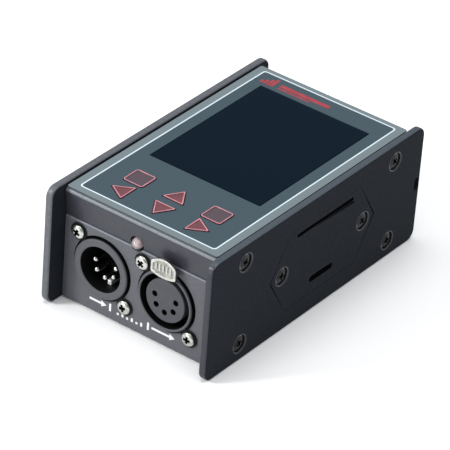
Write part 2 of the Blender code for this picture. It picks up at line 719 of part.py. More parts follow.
def make_overlay(material):
    """The printed front sheet, cut out for the window and the keys."""
    width = 2 * (BODY_END_X - OVERLAY_MARGIN_X)
    length = NOSE_REAR_Y - NOSE_FRONT_Y - 2 * OVERLAY_MARGIN_Y
    mesh = bmesh.new()
    outline = rounded_rectangle(width, length, OVERLAY_CORNER, (0, BODY_CENTRE_Y))
    add_prism(mesh, outline, "Z", OVERLAY_BOTTOM, OVERLAY_TOP)
    overlay = piece("overlay", mesh, material)
    openings = bmesh.new()
    low, high = OVERLAY_BOTTOM - OVERLAY_THICKNESS, OVERLAY_TOP + OVERLAY_THICKNESS
    window = rectangle(WINDOW_WIDTH + 2 * SEAT, WINDOW_LENGTH + 2 * SEAT, (0, WINDOW_CENTRE_Y))
    add_prism(openings, window, "Z", low, high)
    for _, shape, centre in key_plan():
        add_prism(openings, key_outline(shape, centre, KEY_GAP), "Z", low, high)
    cut(overlay, tool("overlay_openings", openings))


def make_display(window_material, module_material):
    """The window in the overlay and the display module under the deck."""
    mesh = bmesh.new()
    window = rectangle(WINDOW_WIDTH, WINDOW_LENGTH, (0, WINDOW_CENTRE_Y))
    add_prism(mesh, window, "Z", OVERLAY_BOTTOM, OVERLAY_TOP)
    piece("display_window", mesh, window_material)
    mesh = bmesh.new()
    module = rectangle(DISPLAY_WIDTH, DISPLAY_LENGTH, (0, WINDOW_CENTRE_Y))
    add_prism(mesh, module, "Z", DISPLAY_TOP - DISPLAY_THICKNESS, DISPLAY_TOP)
    piece("display_module", mesh, module_material)


def make_keys(material):
    """Six keys. Each is a shaped cap on a wider lip that the deck holds in."""
    lip_top = DECK_BOTTOM - SEAT
    lip_bottom = lip_top - KEY_LIP_THICKNESS
    for name, shape, centre in key_plan():
        mesh = bmesh.new()
        cap_bottom = lip_top - KEY_LIP_THICKNESS / 2
        add_prism(mesh, key_outline(shape, centre), "Z", cap_bottom, OVERLAY_TOP + KEY_PROUD)
        key = piece(name, mesh, material, (centre[0], centre[1], OVERLAY_TOP))
        lip = bmesh.new()
        half_width, half_length = KEY_LIP_WIDTH / 2, KEY_LIP_LENGTH / 2
        add_box(lip, (centre[0] - half_width, centre[1] - half_length, lip_bottom),
                (centre[0] + half_width, centre[1] + half_length, lip_top))
        join(key, tool(name + "_lip", lip))


def make_boards(material, spacer_material):
    """The main board with its key switches, its spacers, and the connector board."""
    half_width = DISPLAY_WIDTH / 2 + BOARD_MARGIN_X
    start, end = PANEL_FRONT_Y + BOARD_MARGIN_Y, PANEL_REAR_Y - BOARD_MARGIN_Y / 2
    mesh = bmesh.new()
    add_box(mesh, (-half_width, start, BOARD_BOTTOM), (half_width, end, BOARD_TOP))
    board = piece("main_board", mesh, material)
    switches = bmesh.new()
    switch_top = DECK_BOTTOM - SEAT - KEY_LIP_THICKNESS - KEY_TRAVEL - KEY_REST_GAP
    for _, _, (x, y) in key_plan():
        half = SWITCH_SIZE / 2
        root = BOARD_TOP - BOARD_THICKNESS / 2
        add_box(switches, (x - half, y - half, root), (x + half, y + half, switch_top))
    join(board, tool("board_switches", switches))

    rear_y = WINDOW_CENTRE_Y + DISPLAY_LENGTH / 2 + SPACER_BACK
    front_y = WINDOW_CENTRE_Y - DISPLAY_LENGTH / 2 - SPACER_BACK
    spacer_x = DISPLAY_WIDTH / 2 - SPACER_INSET_X
    corners = [(-spacer_x, front_y), (spacer_x, front_y), (-spacer_x, rear_y), (spacer_x, rear_y)]
    for number, corner in enumerate(corners, 1):
        spacer = bmesh.new()
        outline = circle(SPACER_RADIUS, SMALL_SIDES, corner)
        add_prism(spacer, outline, "Z", BOARD_TOP + SEAT, DECK_BOTTOM - SEAT)
        piece(f"board_spacer_{number}", spacer, spacer_material)

    half_height = CONNECTOR_FLANGE / 2
    reach = CONTACT_CIRCLE + CONNECTOR_BOARD_EDGE
    mesh = bmesh.new()
    add_box(mesh, (MALE_X - reach, CONNECTOR_REAR_Y + SEAT, CONNECTOR_HEIGHT - half_height),
            (FEMALE_X + reach, CONNECTOR_REAR_Y + SEAT + BOARD_THICKNESS, CONNECTOR_HEIGHT + half_height))
    piece("connector_board", mesh, material)


def make_shell(name, centre_x, bore, floor_hole, material):
    """A connector's shell: square flange behind the panel and a collar through it."""
    centre = (centre_x, CONNECTOR_HEIGHT)
    mesh = bmesh.new()
    flange = rounded_rectangle(CONNECTOR_FLANGE, CONNECTOR_FLANGE, CONNECTOR_FLANGE_CORNER, centre)
    add_prism(mesh, flange, "Y", FLANGE_FRONT_Y, FLANGE_REAR_Y)
    shell = piece(name, mesh, material)
    barrel = bmesh.new()
    lip = min(COLLAR_ROUND, (COLLAR_RADIUS - bore) * COLLAR_ROUND_SHARE)
    arc = [(COLLAR_RADIUS - lip + lip * math.sin(math.radians(angle)),
            COLLAR_FRONT_Y + lip - lip * math.cos(math.radians(angle))) for angle in (0, 30, 60, 90)]
    step_y = (FLANGE_FRONT_Y + FLANGE_REAR_Y) / 2
    profile = [(0, COLLAR_FRONT_Y)] + arc + [(COLLAR_RADIUS, step_y), (SHELL_RADIUS, step_y),
                                            (SHELL_RADIUS, SHELL_REAR_Y), (0, SHELL_REAR_Y)]
    add_turned(barrel, profile, "Y", centre, RING_SIDES)
    join(shell, tool(name + "_barrel", barrel))
    hollow = bmesh.new()
    profile = [(0, COLLAR_FRONT_Y - SHEET), (bore, COLLAR_FRONT_Y - SHEET), (bore, CAVITY_FLOOR_Y),
               (floor_hole, CAVITY_FLOOR_Y), (floor_hole, SHELL_REAR_Y + SHEET), (0, SHELL_REAR_Y + SHEET)]
    add_turned(hollow, profile, "Y", centre, RING_SIDES)
    for x, z in connector_screw_places(centre_x):
        hole = circle(SCREW_RADIUS + SEAT, SMALL_SIDES, (x, z))
        add_prism(hollow, hole, "Y", FLANGE_FRONT_Y - SHEET, SHELL_REAR_Y)
    cut(shell, tool(name + "_hollow", hollow))
    return shell


def make_male_connector(shell_material, insert_material, contact_material):
    """The male connector: shell, pin carrier and five pins."""
    shell = make_shell("male_shell", MALE_X, MALE_BORE_RADIUS, CARRIER_HOLE_RADIUS, shell_material)
    carrier_rear = CAVITY_FLOOR_Y - SEAT
    ridge_rear = carrier_rear - CARRIER_THICKNESS - SEAT
    bore_bottom = CONNECTOR_HEIGHT - MALE_BORE_RADIUS
    ridge = bmesh.new()
    add_box(ridge, (MALE_X - KEY_RIDGE_WIDTH / 2, ridge_rear - KEY_RIDGE_LENGTH, bore_bottom - SHEET / 2),
            (MALE_X + KEY_RIDGE_WIDTH / 2, ridge_rear, bore_bottom + KEY_RIDGE_HEIGHT))
    join(shell, tool("key_ridge", ridge))
    mesh = bmesh.new()
    add_prism(mesh, circle(MALE_BORE_RADIUS - SEAT, RING_SIDES, (MALE_X, CONNECTOR_HEIGHT)), "Y",
              carrier_rear - CARRIER_THICKNESS, carrier_rear)
    carrier = piece("male_pin_carrier", mesh, insert_material)
    holes = bmesh.new()
    pins = contact_places(MALE_X)
    for place_of_pin in pins:
        hole = circle(PIN_RADIUS + SEAT, SMALL_SIDES, place_of_pin)
        add_prism(holes, hole, "Y", carrier_rear - 2 * CARRIER_THICKNESS, carrier_rear + CARRIER_THICKNESS)
    cut(carrier, tool("carrier_holes", holes))
    tip_y = COLLAR_FRONT_Y + PIN_RECESS
    for number, place_of_pin in enumerate(pins, 1):
        pin = bmesh.new()
        profile = dome(PIN_RADIUS, tip_y, (0, 40, 90))
        profile += [(PIN_RADIUS, CONNECTOR_REAR_Y), (0, CONNECTOR_REAR_Y)]
        add_turned(pin, profile, "Y", place_of_pin, PIN_SIDES)
        piece(f"male_pin_{number}", pin, contact_material)


def make_female_connector(shell_material, insert_material):
    """The female connector: shell with a stem channel, and the insert with five sockets."""
    shell = make_shell("female_shell", FEMALE_X, FEMALE_BORE_RADIUS, INSERT_RADIUS + SEAT, shell_material)
    channel = bmesh.new()
    channel_end = FLANGE_FRONT_Y + STEM_REACH + SPRING_LENGTH + 2 * SEAT + TAB_TRAVEL
    stem_channel(channel, COLLAR_FRONT_Y - SHEET, channel_end)
    cut(shell, tool("stem_channel", channel))
    plate_room = bmesh.new()
    half = TAB_WIDTH / 2 + SEAT
    low_z = CONNECTOR_HEIGHT + TAB_LIFT - TAB_LOWER_BULGE - SEAT
    add_box(plate_room, (FEMALE_X - half, COLLAR_FRONT_Y - SHEET, low_z),
            (FEMALE_X + half, tab_back_y() + TAB_TRAVEL + SEAT, CONNECTOR_HEIGHT + SHELL_RADIUS + SHEET))
    cut(shell, tool("plate_room", plate_room))

    centre = (FEMALE_X, CONNECTOR_HEIGHT)
    shoulder = FEMALE_BORE_RADIUS - SEAT
    shoulder_rear = CAVITY_FLOOR_Y - SEAT
    front = COLLAR_FRONT_Y + INSERT_RECESS
    mesh = bmesh.new()
    profile = [(0, front), (INSERT_RADIUS, front),
               (INSERT_RADIUS, shoulder_rear - INSERT_SHOULDER), (shoulder, shoulder_rear - INSERT_SHOULDER),
               (shoulder, shoulder_rear), (INSERT_RADIUS, shoulder_rear),
               (INSERT_RADIUS, CONNECTOR_REAR_Y), (0, CONNECTOR_REAR_Y)]
    add_turned(mesh, profile, "Y", centre, RING_SIDES)
    insert = piece("female_insert", mesh, insert_material)
    sockets = bmesh.new()
    for place_of_socket in contact_places(FEMALE_X):
        socket = circle(SOCKET_RADIUS, SMALL_SIDES, place_of_socket)
        add_prism(sockets, socket, "Y", COLLAR_FRONT_Y - SHEET, front + SOCKET_DEPTH)
    cut(insert, tool("insert_sockets", sockets))


def tab_back_y():
    """Rear face of the release tab's plate at rest."""
    return PANEL_FRONT_Y - TAB_PROUD + TAB_THICKNESS


def make_release_tab(tab_material, spring_material):
    """The release tab, a lens-shaped plate on a hooked stem, and its spring."""
    base_z = CONNECTOR_HEIGHT + TAB_LIFT
    shares = [step / 5 for step in range(-5, 6)]
    lower = [(TAB_WIDTH / 2 * share, base_z - TAB_LOWER_BULGE * (1 - share ** 2)) for share in shares]
    upper = [(TAB_WIDTH / 2 * share, base_z + TAB_END_HEIGHT + TAB_UPPER_BULGE * (1 - share ** 2))
             for share in reversed(shares)]
    outline = [(FEMALE_X + x, z) for x, z in lower + upper]
    back = tab_back_y()
    mesh = bmesh.new()
    add_prism(mesh, outline, "Y", back - TAB_THICKNESS, back)
    tab = piece("release_tab", mesh, tab_material, (FEMALE_X, back, base_z))
    stem_low = CONNECTOR_HEIGHT + STEM_LIFT
    stem_high = stem_low + STEM_THICKNESS
    stem_end = FLANGE_FRONT_Y + STEM_REACH
    hook_low = CONNECTOR_HEIGHT + FEMALE_BORE_RADIUS - HOOK_DEPTH
    hook_front = stem_end - HOOK_LENGTH
    root = back - TAB_THICKNESS / 2
    profile = [(root, stem_low), (hook_front - HOOK_LENGTH / 2, stem_low), (hook_front, hook_low),
               (stem_end, hook_low), (stem_end, stem_high), (root, stem_high)]
    stem = bmesh.new()
    add_prism(stem, profile, "X", FEMALE_X - STEM_WIDTH / 2, FEMALE_X + STEM_WIDTH / 2)
    join(tab, tool("tab_stem", stem))

    curve = bpy.data.curves.new("tab_spring", "CURVE")
    curve.dimensions = "3D"
    curve.bevel_depth = SPRING_WIRE
    curve.bevel_resolution = 1
    curve.use_fill_caps = True
    spline = curve.splines.new("POLY")
    points = SPRING_TURNS * SPRING_STEPS
    spline.points.add(points)
    for index in range(points + 1):
        angle = 2 * math.pi * SPRING_TURNS * index / points
        along = (SPRING_LENGTH - 2 * SPRING_WIRE) * index / points
        spline.points[index].co = (SPRING_RADIUS * math.cos(angle), along, SPRING_RADIUS * math.sin(angle), 1)
    spring = bpy.data.objects.new("tab_spring", curve)
    spring_z = (CONNECTOR_HEIGHT + FEMALE_BORE_RADIUS + stem_high) / 2
    spring.location = (FEMALE_X, stem_end + SEAT + SPRING_WIRE, spring_z)
    curve.materials.append(spring_material)
    bpy.context.scene.collection.objects.link(spring)


def make_lamp(material):
    """The status lamp: a clear dome with a rim behind the band."""
    rim_front = PANEL_FRONT_Y + SHEET + 2 * SEAT
    rim_rear = rim_front + LAMP_RIM_THICKNESS
    rim_radius = LAMP_RADIUS + LAMP_RIM
    profile = dome(LAMP_RADIUS, PANEL_FRONT_Y - LAMP_PROUD, (0, 25, 50, 75, 90))
    profile += [(LAMP_RADIUS, rim_front), (rim_radius, rim_front), (rim_radius, rim_rear), (0, rim_rear)]
    mesh = bmesh.new()
    add_turned(mesh, profile, "Y", (CONNECTOR_OFFSET_X, LAMP_HEIGHT), LAMP_SIDES)
    piece("status_lamp", mesh, material)


def make_charging_socket(material):
    """The charging socket: a sleeve through the rear panel with a rim behind it."""
    rear, inner = PANEL_REAR_Y, PANEL_REAR_Y - SHEET - SEAT
    mesh = bmesh.new()
    add_prism(mesh, charging_outline(SOCKET_WALL + SOCKET_RIM), "Y", inner - SOCKET_RIM_THICKNESS, inner)
    socket = piece("charging_socket", mesh, material)
    sleeve = bmesh.new()
    add_prism(sleeve, charging_outline(SOCKET_WALL), "Y", inner - CHARGE_DEPTH, rear)
    join(socket, tool("socket_sleeve", sleeve))
    hollow = bmesh.new()
    add_prism(hollow, charging_outline(0), "Y", inner - CHARGE_DEPTH + SOCKET_RIM_THICKNESS, rear + SHEET)
    cut(socket, tool("socket_hollow", hollow))


def make_battery(material):
    """The rechargeable pack on the floor of the shell."""
    front, rear = CONNECTOR_REAR_Y + SEAT + BOARD_THICKNESS, PANEL_REAR_Y - SHEET
    outline = rounded_rectangle(BATTERY_WIDTH, BATTERY_LENGTH, BATTERY_CORNER, (0, (front + rear) / 2))
    mesh = bmesh.new()
    add_prism(mesh, outline, "Z", SHEET + SEAT, SHEET + SEAT + BATTERY_THICKNESS)
    piece("battery_pack", mesh, material)


def make_screws(dark, bright):
    """Eight flat cheek screws, two flat plate screws and four pan-headed connector screws."""
    long_screw = screw_mesh(sunk_head(), SCREW_LENGTH)
    short_screw = screw_mesh(sunk_head(), PLATE_SCREW_LENGTH)
    panel_screw = screw_mesh(pan_head(), PANEL_SCREW_LENGTH)
    head_x = CHEEK_OUTER_X - SUNK_DEPTH
    for side, word in ((-1, "left"), (1, "right")):
        for number, (y, z) in enumerate(screw_places_on_cheek(), 1):
            place_screw(f"cheek_screw_{word}_{number}", long_screw, dark, (side * head_x, y, z), (side, 0, 0))
    for side, word in ((-1, "front"), (1, "rear")):
        y = PLATE_CENTRE_Y + side * PLATE_SCREW_SPACING / 2
        place_screw(f"plate_screw_{word}", short_screw, dark, (head_x, y, PLATE_CENTRE_Z), (1, 0, 0))
    for centre_x, word in ((MALE_X, "male"), (FEMALE_X, "female")):
        for number, (x, z) in enumerate(connector_screw_places(centre_x), 1):
            location = (x, PANEL_FRONT_Y - SEAT, z)
            place_screw(f"{word}_screw_{number}", panel_screw, bright, location, (0, -1, 0))


def build():
    """Make the whole tester."""
    clear_objects()
    charcoal = finish("charcoal_coat", (0.035, 0.038, 0.044), 0.45, 0.2)
    grey = finish("grey_coat", (0.12, 0.125, 0.14), 0.5, 0.2)
    printed = finish("printed_sheet", (0.10, 0.14, 0.17), 0.4)
    glass = finish("dark_window", (0.008, 0.016, 0.022), 0.1)
    red = finish("red_key", (0.45, 0.06, 0.07), 0.45)
    module = finish("display_frame", (0.05, 0.05, 0.055), 0.4, 0.5)
    board = finish("board_green", (0.02, 0.12, 0.05), 0.5)
    spacer = finish("spacer_metal", (0.7, 0.7, 0.68), 0.35, 1.0)
    shell = finish("connector_shell", (0.15, 0.155, 0.165), 0.4, 0.5)
    insert = finish("insert_grey", (0.13, 0.14, 0.16), 0.5)
    carrier = finish("carrier_black", (0.01, 0.01, 0.012), 0.5)
    contact = finish("contact_silver", (0.85, 0.85, 0.83), 0.2, 1.0)
    nickel = finish("bright_nickel", (0.75, 0.74, 0.70), 0.25, 1.0)
    dark_screw = finish("dark_screw", (0.06, 0.06, 0.065), 0.35, 0.8)
    clear = finish("clear_lamp", (0.85, 0.72, 0.72), 0.1, 0.0, 0.8)
    wrap = finish("battery_wrap", (0.05, 0.15, 0.3), 0.5)

    make_cheek("left_cheek", -1, charcoal)
    right_cheek = make_cheek("right_cheek", 1, charcoal)
    make_side_plate(right_cheek, charcoal)
    make_top_cover(grey)
    make_base_shell(grey)
    make_overlay(printed)
    make_display(glass, module)
    make_keys(red)
    make_boards(board, spacer)
    make_male_connector(shell, carrier, contact)
    make_female_connector(shell, insert)
    make_release_tab(nickel, nickel)
    make_lamp(clear)
    make_charging_socket(contact)
    make_battery(wrap)
    make_screws(dark_screw, nickel)


build()
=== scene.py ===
"""Looks of a hand-held tester for stage-lighting control lines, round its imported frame."""

import math

import bmesh
import bpy
from mathutils import Matrix, Vector


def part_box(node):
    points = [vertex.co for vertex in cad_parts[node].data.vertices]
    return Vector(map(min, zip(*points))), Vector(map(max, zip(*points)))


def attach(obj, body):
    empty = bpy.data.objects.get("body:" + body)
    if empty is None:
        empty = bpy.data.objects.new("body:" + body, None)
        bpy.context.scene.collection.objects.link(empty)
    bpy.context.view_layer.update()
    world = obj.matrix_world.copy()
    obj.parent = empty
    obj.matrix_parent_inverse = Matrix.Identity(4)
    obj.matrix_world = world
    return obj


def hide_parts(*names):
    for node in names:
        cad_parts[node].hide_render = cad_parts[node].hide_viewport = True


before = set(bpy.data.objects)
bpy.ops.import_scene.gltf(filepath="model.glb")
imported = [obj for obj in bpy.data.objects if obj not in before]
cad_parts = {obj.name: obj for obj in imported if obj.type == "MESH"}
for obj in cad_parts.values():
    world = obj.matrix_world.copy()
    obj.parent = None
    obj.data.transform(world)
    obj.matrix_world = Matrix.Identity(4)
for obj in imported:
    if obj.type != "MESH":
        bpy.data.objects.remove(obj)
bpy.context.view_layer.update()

# Camera
CAMERA_PLACE = Vector((0.54691, -0.78878, 0.6390))
CAMERA_AIM = Vector((-0.00109, -0.00360, 0.01841))
CAMERA_ROLL = math.radians(4.507)
CAMERA_LENS = 281.8
CAMERA_SENSOR = 36.0

# Sheets and cheeks
SEAT = 0.0003
SHEET = 0.0012
BEND = 0.0018
FLOOR_BEND = 0.0014
SHEET_EDGE = 0.0005
CHEEK_CORNER = 0.0036
CHEEK_EDGE = 0.0007
SCREW_HOLE = 0.0018
PANEL_LEDGE = 0.0005
FOOT_GAP = 0.00004
FLANGE_DEPTH = 0.0085
FLANGE_END = 0.0042
FLANGE_INSET = 0.0002

# Strap slot and side plate
STRAP_SLOT_SIZE = (0.0024, 0.0050)
STRAP_SLOT_MARGIN = 0.0008
SLOT_ROUNDING = 0.45
PLATE_LENGTH = 0.0560
PLATE_FLAT = 0.0380
PLATE_THICKNESS = 0.0009
PLATE_CORNER = 0.0008
PLATE_TIGHT = 0.00005
POCKET_GAP = 0.0005
LONG_SLOT_SIZE = (0.0305, 0.0014)
SHORT_SLOT_SIZE = (0.0125, 0.0023)
LONG_SLOT_LIFT = 0.0119
SHORT_SLOT_DROP = 0.0092
PLATE_SLOTS = ((LONG_SLOT_SIZE, LONG_SLOT_LIFT), (SHORT_SLOT_SIZE, -SHORT_SLOT_DROP))
WEDGE_LENGTH = 0.0238
WEDGE_END = 0.0151
WEDGE_SINK = 0.0001

# Overlay, window and keys
OVERLAY_CORNER = 0.0008
BORDER_LEFT = 0.02675
BORDER_FRONT_INSET = 0.0028
BORDER_REAR_INSET = 0.0023
BORDER_WIDTH = 0.0005
BORDER_CORNER = 0.0012
PRINT_PROUD = 0.00004
WINDOW_LEDGE = 0.0010
KEY_SQUARE = 0.0078
KEY_TRIANGLE_BASE = 0.0082
KEY_TRIANGLE_HEIGHT = 0.0068
KEY_CORNER = 0.0010
KEY_POINT = 0.0006
KEY_GAP = 0.0003
KEY_RIM_WIDTH = 0.00045
KEY_RIM_DEPTH = 0.00025
KEY_FIELD_CORNER = 0.0002
KEY_CAP_LIFT = 0.0004
KEY_LIP_HALF = (0.0053, 0.0025)
KEY_LIP_HEIGHT = 0.0009
KEY_TURNS = {"key_up": 0, "key_left": 90, "key_down": 180, "key_right": -90}
KEY_BODIES = {"key_square_left": "square_key_left", "key_square_right": "square_key_right",
              "key_up": "up_key", "key_down": "down_key", "key_left": "left_key", "key_right": "right_key"}

# Connectors
COLLAR_RADIUS = 0.0107
COLLAR_ROUND = 0.0005
COLLAR_GAP = 0.0008
MALE_BORE = 0.0081
FEMALE_BORE = 0.00975
BORE_ROUND = 0.0003
INSERT_RADIUS = 0.0077
INSERT_EDGE = 0.0003
INSERT_SHOULDER = 0.0020
CONTACT_CIRCLE = 0.0043
CONTACT_STEP = math.radians(52)
CAVITY_DEPTH = 0.0146
SHELL_FLOOR = 0.0028
SHELL_STEP = 0.0013
CARRIER_HOLE = 0.0065
CARRIER_EDGE = 0.0004
PIN_RADIUS = 0.0010
KEY_RIDGE_WIDTH = 0.0016
KEY_RIDGE_HEIGHT = 0.0015
KEY_RIDGE_LENGTH = 0.0053
KEY_RIDGE_EDGE = 0.00025
SOCKET_RADIUS = 0.00105
SOCKET_DEPTH = 0.0100
CONNECTOR_SCREW = 0.0099
FLANGE_THICKNESS = 0.0025
FLANGE_CORNER = 0.0020

# Release tab
TAB_LIFT = 0.0105
TAB_END_HEIGHT = 0.0040
TAB_LOWER_BULGE = 0.0009
TAB_UPPER_BULGE = 0.0020
TAB_CORNER = 0.0005
TAB_THICKNESS = 0.0010
TAB_TRAVEL = 0.0012
TAB_RIM = 0.0008
TAB_RECESS = 0.0003
TAB_RIB_PITCH = 0.0014
TAB_RIB_WIDTH = 0.0006
TAB_RIB_HEIGHT = 0.0024
STEM_WIDTH = 0.0060
STEM_LIFT = 0.0098
STEM_THICKNESS = 0.0012
HOOK_LENGTH = 0.0022
HOOK_DEPTH = 0.0008

# Lamp
LAMP_HOLE = 0.0027
LAMP_RIM = 0.0008
LAMP_RIM_THICKNESS = 0.0010
LAMP_CORE_PLACE = 0.6
LAMP_CORE_PROFILE = ((0, 0), (0.0006, 0.0001), (0.0011, 0.0009))
LAMP_CORE_RADIUS = 0.0012

# Screws
SCREW_RADIUS = 0.0015
SCREW_POINT = 0.00045
LONG_SCREW_LENGTH = 0.0051
SHORT_SCREW_LENGTH = 0.0022
PANEL_SCREW_LENGTH = 0.0042
SUNK_HEAD_RADIUS = 0.0029
SUNK_HEAD_RIM = 0.0005
SUNK_HEAD_CROWN = 0.0006
PAINTED_RIM_SHARE = 0.86
SUNK_DEPTH = 0.0004
SINK_GAP = 0.0001
SINK_EDGE = 0.0005
PAN_HEAD_RADIUS = 0.0025
PAN_HEAD_HEIGHT = 0.0013
PAN_HEAD_FLANK = 0.3
PAN_HEAD_DOME = 0.58
WASHER_RADIUS = 0.0031
WASHER_THICKNESS = 0.00015
RECESS_WIDTH = 0.0011
RECESS_SPAN = 0.0033
RECESS_DEPTH = 0.0009
RECESS_TAPER = (0.6, 0.8, 1)
FIRST_TURN = 57
TURN_STEP = 37

# Charging socket
PORT_HALF = (0.0039, 0.0015)
PORT_CORNER = 0.0005
PORT_WALL = 0.0005
PORT_GAP = 0.0008
PORT_RIM = 0.0023
PORT_RIM_THICKNESS = 0.0015
PORT_FLOOR = 0.0015
PORT_TONGUE_HALF = (0.0031, 0.0003)
PORT_TONGUE_ROOT = 0.0010
PORT_TONGUE_INSET = 0.0012

# Marks on the connector panel
PANEL_MARK_Z = 0.0050
ARROW_RADIUS = 0.0014
ARROW_LINES = ((-0.0190, 0.0048), (0.0062, 0.0072))
ARROW_LINE_HALF = 0.0004
END_MARKS = (-0.0110, 0.0044)
END_MARK_HALF = 0.0014
TICK_START = -0.0078
TICK_PITCH = 0.0019
TICK_WIDTH = 0.0008
TICK_HEIGHTS = (0.0008, 0.0014)

# Marks on the overlay
RISING_BAR_START = -0.0243
RISING_BAR_PITCH = 0.0014
RISING_BAR_WIDTH = 0.0011
RISING_BAR_FOOT = 0.0428
RISING_BAR_TOP = 0.0445
RISING_BAR_STEP = 0.0011
LONG_LINE = ((-0.0170, 0.0443), (0.0030, 0.0461))
SHORT_LINE = ((-0.0170, 0.0430), (-0.0040, 0.0437))

# Smoothness, fine edges, and the allowance of tests that look for a place
ROUND_SIDES = 96
HOLE_SIDES = 32
FINE_EDGE = 0.00012
THIN_EDGE = 0.0001
HAIR = 0.00001

# The cover's darker and lighter shade. All shades are in linear light.
COVER_GREYS = ((0.025, 0.026, 0.035), (0.032, 0.033, 0.043))


# Places read from the frame

def corners_of(node):
    """The lowest and the highest corner of a CAD node."""
    low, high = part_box(node)
    return Vector(low), Vector(high)


def middle_of(node):
    low, high = corners_of(node)
    return (low + high) / 2


def cheek_screw_middles(word):
    return [middle_of(f"cheek_screw_{word}_{number}") for number in range(1, 5)]


def screw_rows(axis):
    """The two places along an axis where the cheek screws lie, the lower one first."""
    return sorted({round(spot["XYZ".index(axis)], 6) for spot in cheek_screw_middles("right")})


CHEEK_LOW, CHEEK_HIGH = corners_of("right_cheek")
COVER_LOW, COVER_HIGH = corners_of("top_cover")
SHELL_LOW, SHELL_HIGH = corners_of("base_shell")
OVERLAY_LOW, OVERLAY_HIGH = corners_of("overlay")
WINDOW_LOW, WINDOW_HIGH = corners_of("display_window")
BORDER_FRONT_Y = OVERLAY_LOW.y + BORDER_FRONT_INSET
BORDER_REAR_Y = OVERLAY_HIGH.y - BORDER_REAR_INSET
TAB_LOW, TAB_HIGH = corners_of("release_tab")
TAB_X = (TAB_LOW.x + TAB_HIGH.x) / 2
PLATE_Y, PLATE_Z = middle_of("side_plate").yz
CONNECTOR_Z = middle_of("male_shell").z


# Handling of objects

def pick(piece):
    """Select one object alone."""
    bpy.ops.object.select_all(action="DESELECT")
    piece.select_set(True)
    bpy.context.view_layer.objects.active = piece


def settle(piece, name):
    """Name an object and put its place, turn and size into its mesh."""
    pick(piece)
    piece.name = name
    piece.data.name = name
    bpy.ops.object.transform_apply(location=True, rotation=True, scale=True)
    return piece


def apply_modifier(piece, kind, **settings):
    """Add a modifier and apply it."""
    pick(piece)
    change = piece.modifiers.new(kind.lower(), kind)
    for setting, value in settings.items():
        setattr(change, setting, value)
    bpy.ops.object.modifier_apply(modifier=change.name)


def combine(piece, others, operation):
    """Cut other shapes out of a piece or join them to it. They are used up."""
    for other in others:
        apply_modifier(piece, "BOOLEAN", operation=operation, solver="EXACT", object=other)
        bpy.data.objects.remove(other, do_unlink=True)


def carve(piece, *cutters):
    combine(piece, cutters, "DIFFERENCE")


def weld(piece, *others):
    combine(piece, others, "UNION")


def gather(name, pieces):
    """Put several shapes into one object without changing them."""
    bpy.ops.object.select_all(action="DESELECT")
    for item in pieces:
        item.select_set(True)
    bpy.context.view_layer.objects.active = pieces[0]
    bpy.ops.object.join()
    return settle(pieces[0], name)


def soften(piece, width, steps=2, angle=35):
    """Round all the sharp edges a little."""
    apply_modifier(piece, "BEVEL", width=width, segments=steps, limit_method="ANGLE",
                   angle_limit=math.radians(angle))


def smooth(piece):
    """Shade the round parts smooth and keep the sharp edges."""
    pick(piece)
    bpy.ops.object.shade_smooth_by_angle(angle=math.radians(32))
    apply_modifier(piece, "WEIGHTED_NORMAL", mode="FACE_AREA", keep_sharp=True)


# Work in edit mode

def open_edit(piece, mode):
    """Go into edit mode with nothing selected."""
    pick(piece)
    bpy.ops.object.mode_set(mode="EDIT")
    bpy.ops.mesh.select_mode(type=mode)
    bpy.ops.mesh.select_all(action="DESELECT")
    return bmesh.from_edit_mesh(piece.data)


def close_edit():
    bpy.ops.object.mode_set(mode="OBJECT")


def close_outward():
    """Turn all faces outward and leave edit mode."""
    bpy.ops.mesh.select_all(action="SELECT")
    bpy.ops.mesh.normals_make_consistent(inside=False)
    close_edit()


def select_parts(piece, mode, wanted):
    """Go into edit mode with those edges or faces selected that pass a test."""
    shape = open_edit(piece, mode)
    for part in shape.edges if mode == "EDGE" else shape.faces:
        if wanted(part):
            part.select_set(True)
    bmesh.update_edit_mesh(piece.data)


def lies_at(edge, places):
    """Whether an edge along X lies at one of some (y, z)."""
    return any(all(math.dist(end.co.yz, place) < HAIR for end in edge.verts) for place in places)


def round_corners(piece, axis, radius, steps=6):
    """Round the corners that run along an axis."""
    def at_corner(edge):
        run = (edge.verts[1].co - edge.verts[0].co).normalized()
        return abs(run["XYZ".index(axis)]) > 0.99 and edge.calc_face_angle(0) > math.radians(30)

    select_parts(piece, "EDGE", at_corner)
    bpy.ops.mesh.bevel(offset=radius, segments=steps, affect="EDGES")
    close_edit()


# Basic shapes

AXIS_TURNS = {"X": (0, math.radians(90), 0), "Y": (math.radians(90), 0, 0)}


def on_axis(axis, centre, along):
    """The point at a place along an axis whose line goes through a plane point."""
    place = list(centre)
    place.insert("XYZ".index(axis), along)
    return Vector(place)


def add_primitive(operator, name, **settings):
    """A new primitive alone, with its place and turn in its mesh."""
    bpy.ops.object.select_all(action="DESELECT")
    operator(**settings)
    return settle(bpy.context.object, name)


def add_block(name, low, high):
    """A block between two corners."""
    low, high = Vector(low), Vector(high)
    block = add_primitive(bpy.ops.mesh.primitive_cube_add, name, size=1)
    block.scale = high - low
    block.location = (low + high) / 2
    return settle(block, name)


def add_bar(name, axis, centre, half, start, end):
    """A block along an axis, with two half widths round a plane point."""
    low = [place - reach for place, reach in zip(centre, half)]
    high = [place + reach for place, reach in zip(centre, half)]
    return add_block(name, on_axis(axis, low, start), on_axis(axis, high, end))


def add_slot(centre, size, start, end):
    """A cutter along X with round ends, its length along Y."""
    slot = add_bar("slot", "X", centre, (size[0] / 2, size[1] / 2), start, end)
    round_corners(slot, "X", min(size) * SLOT_ROUNDING, 5)
    return slot


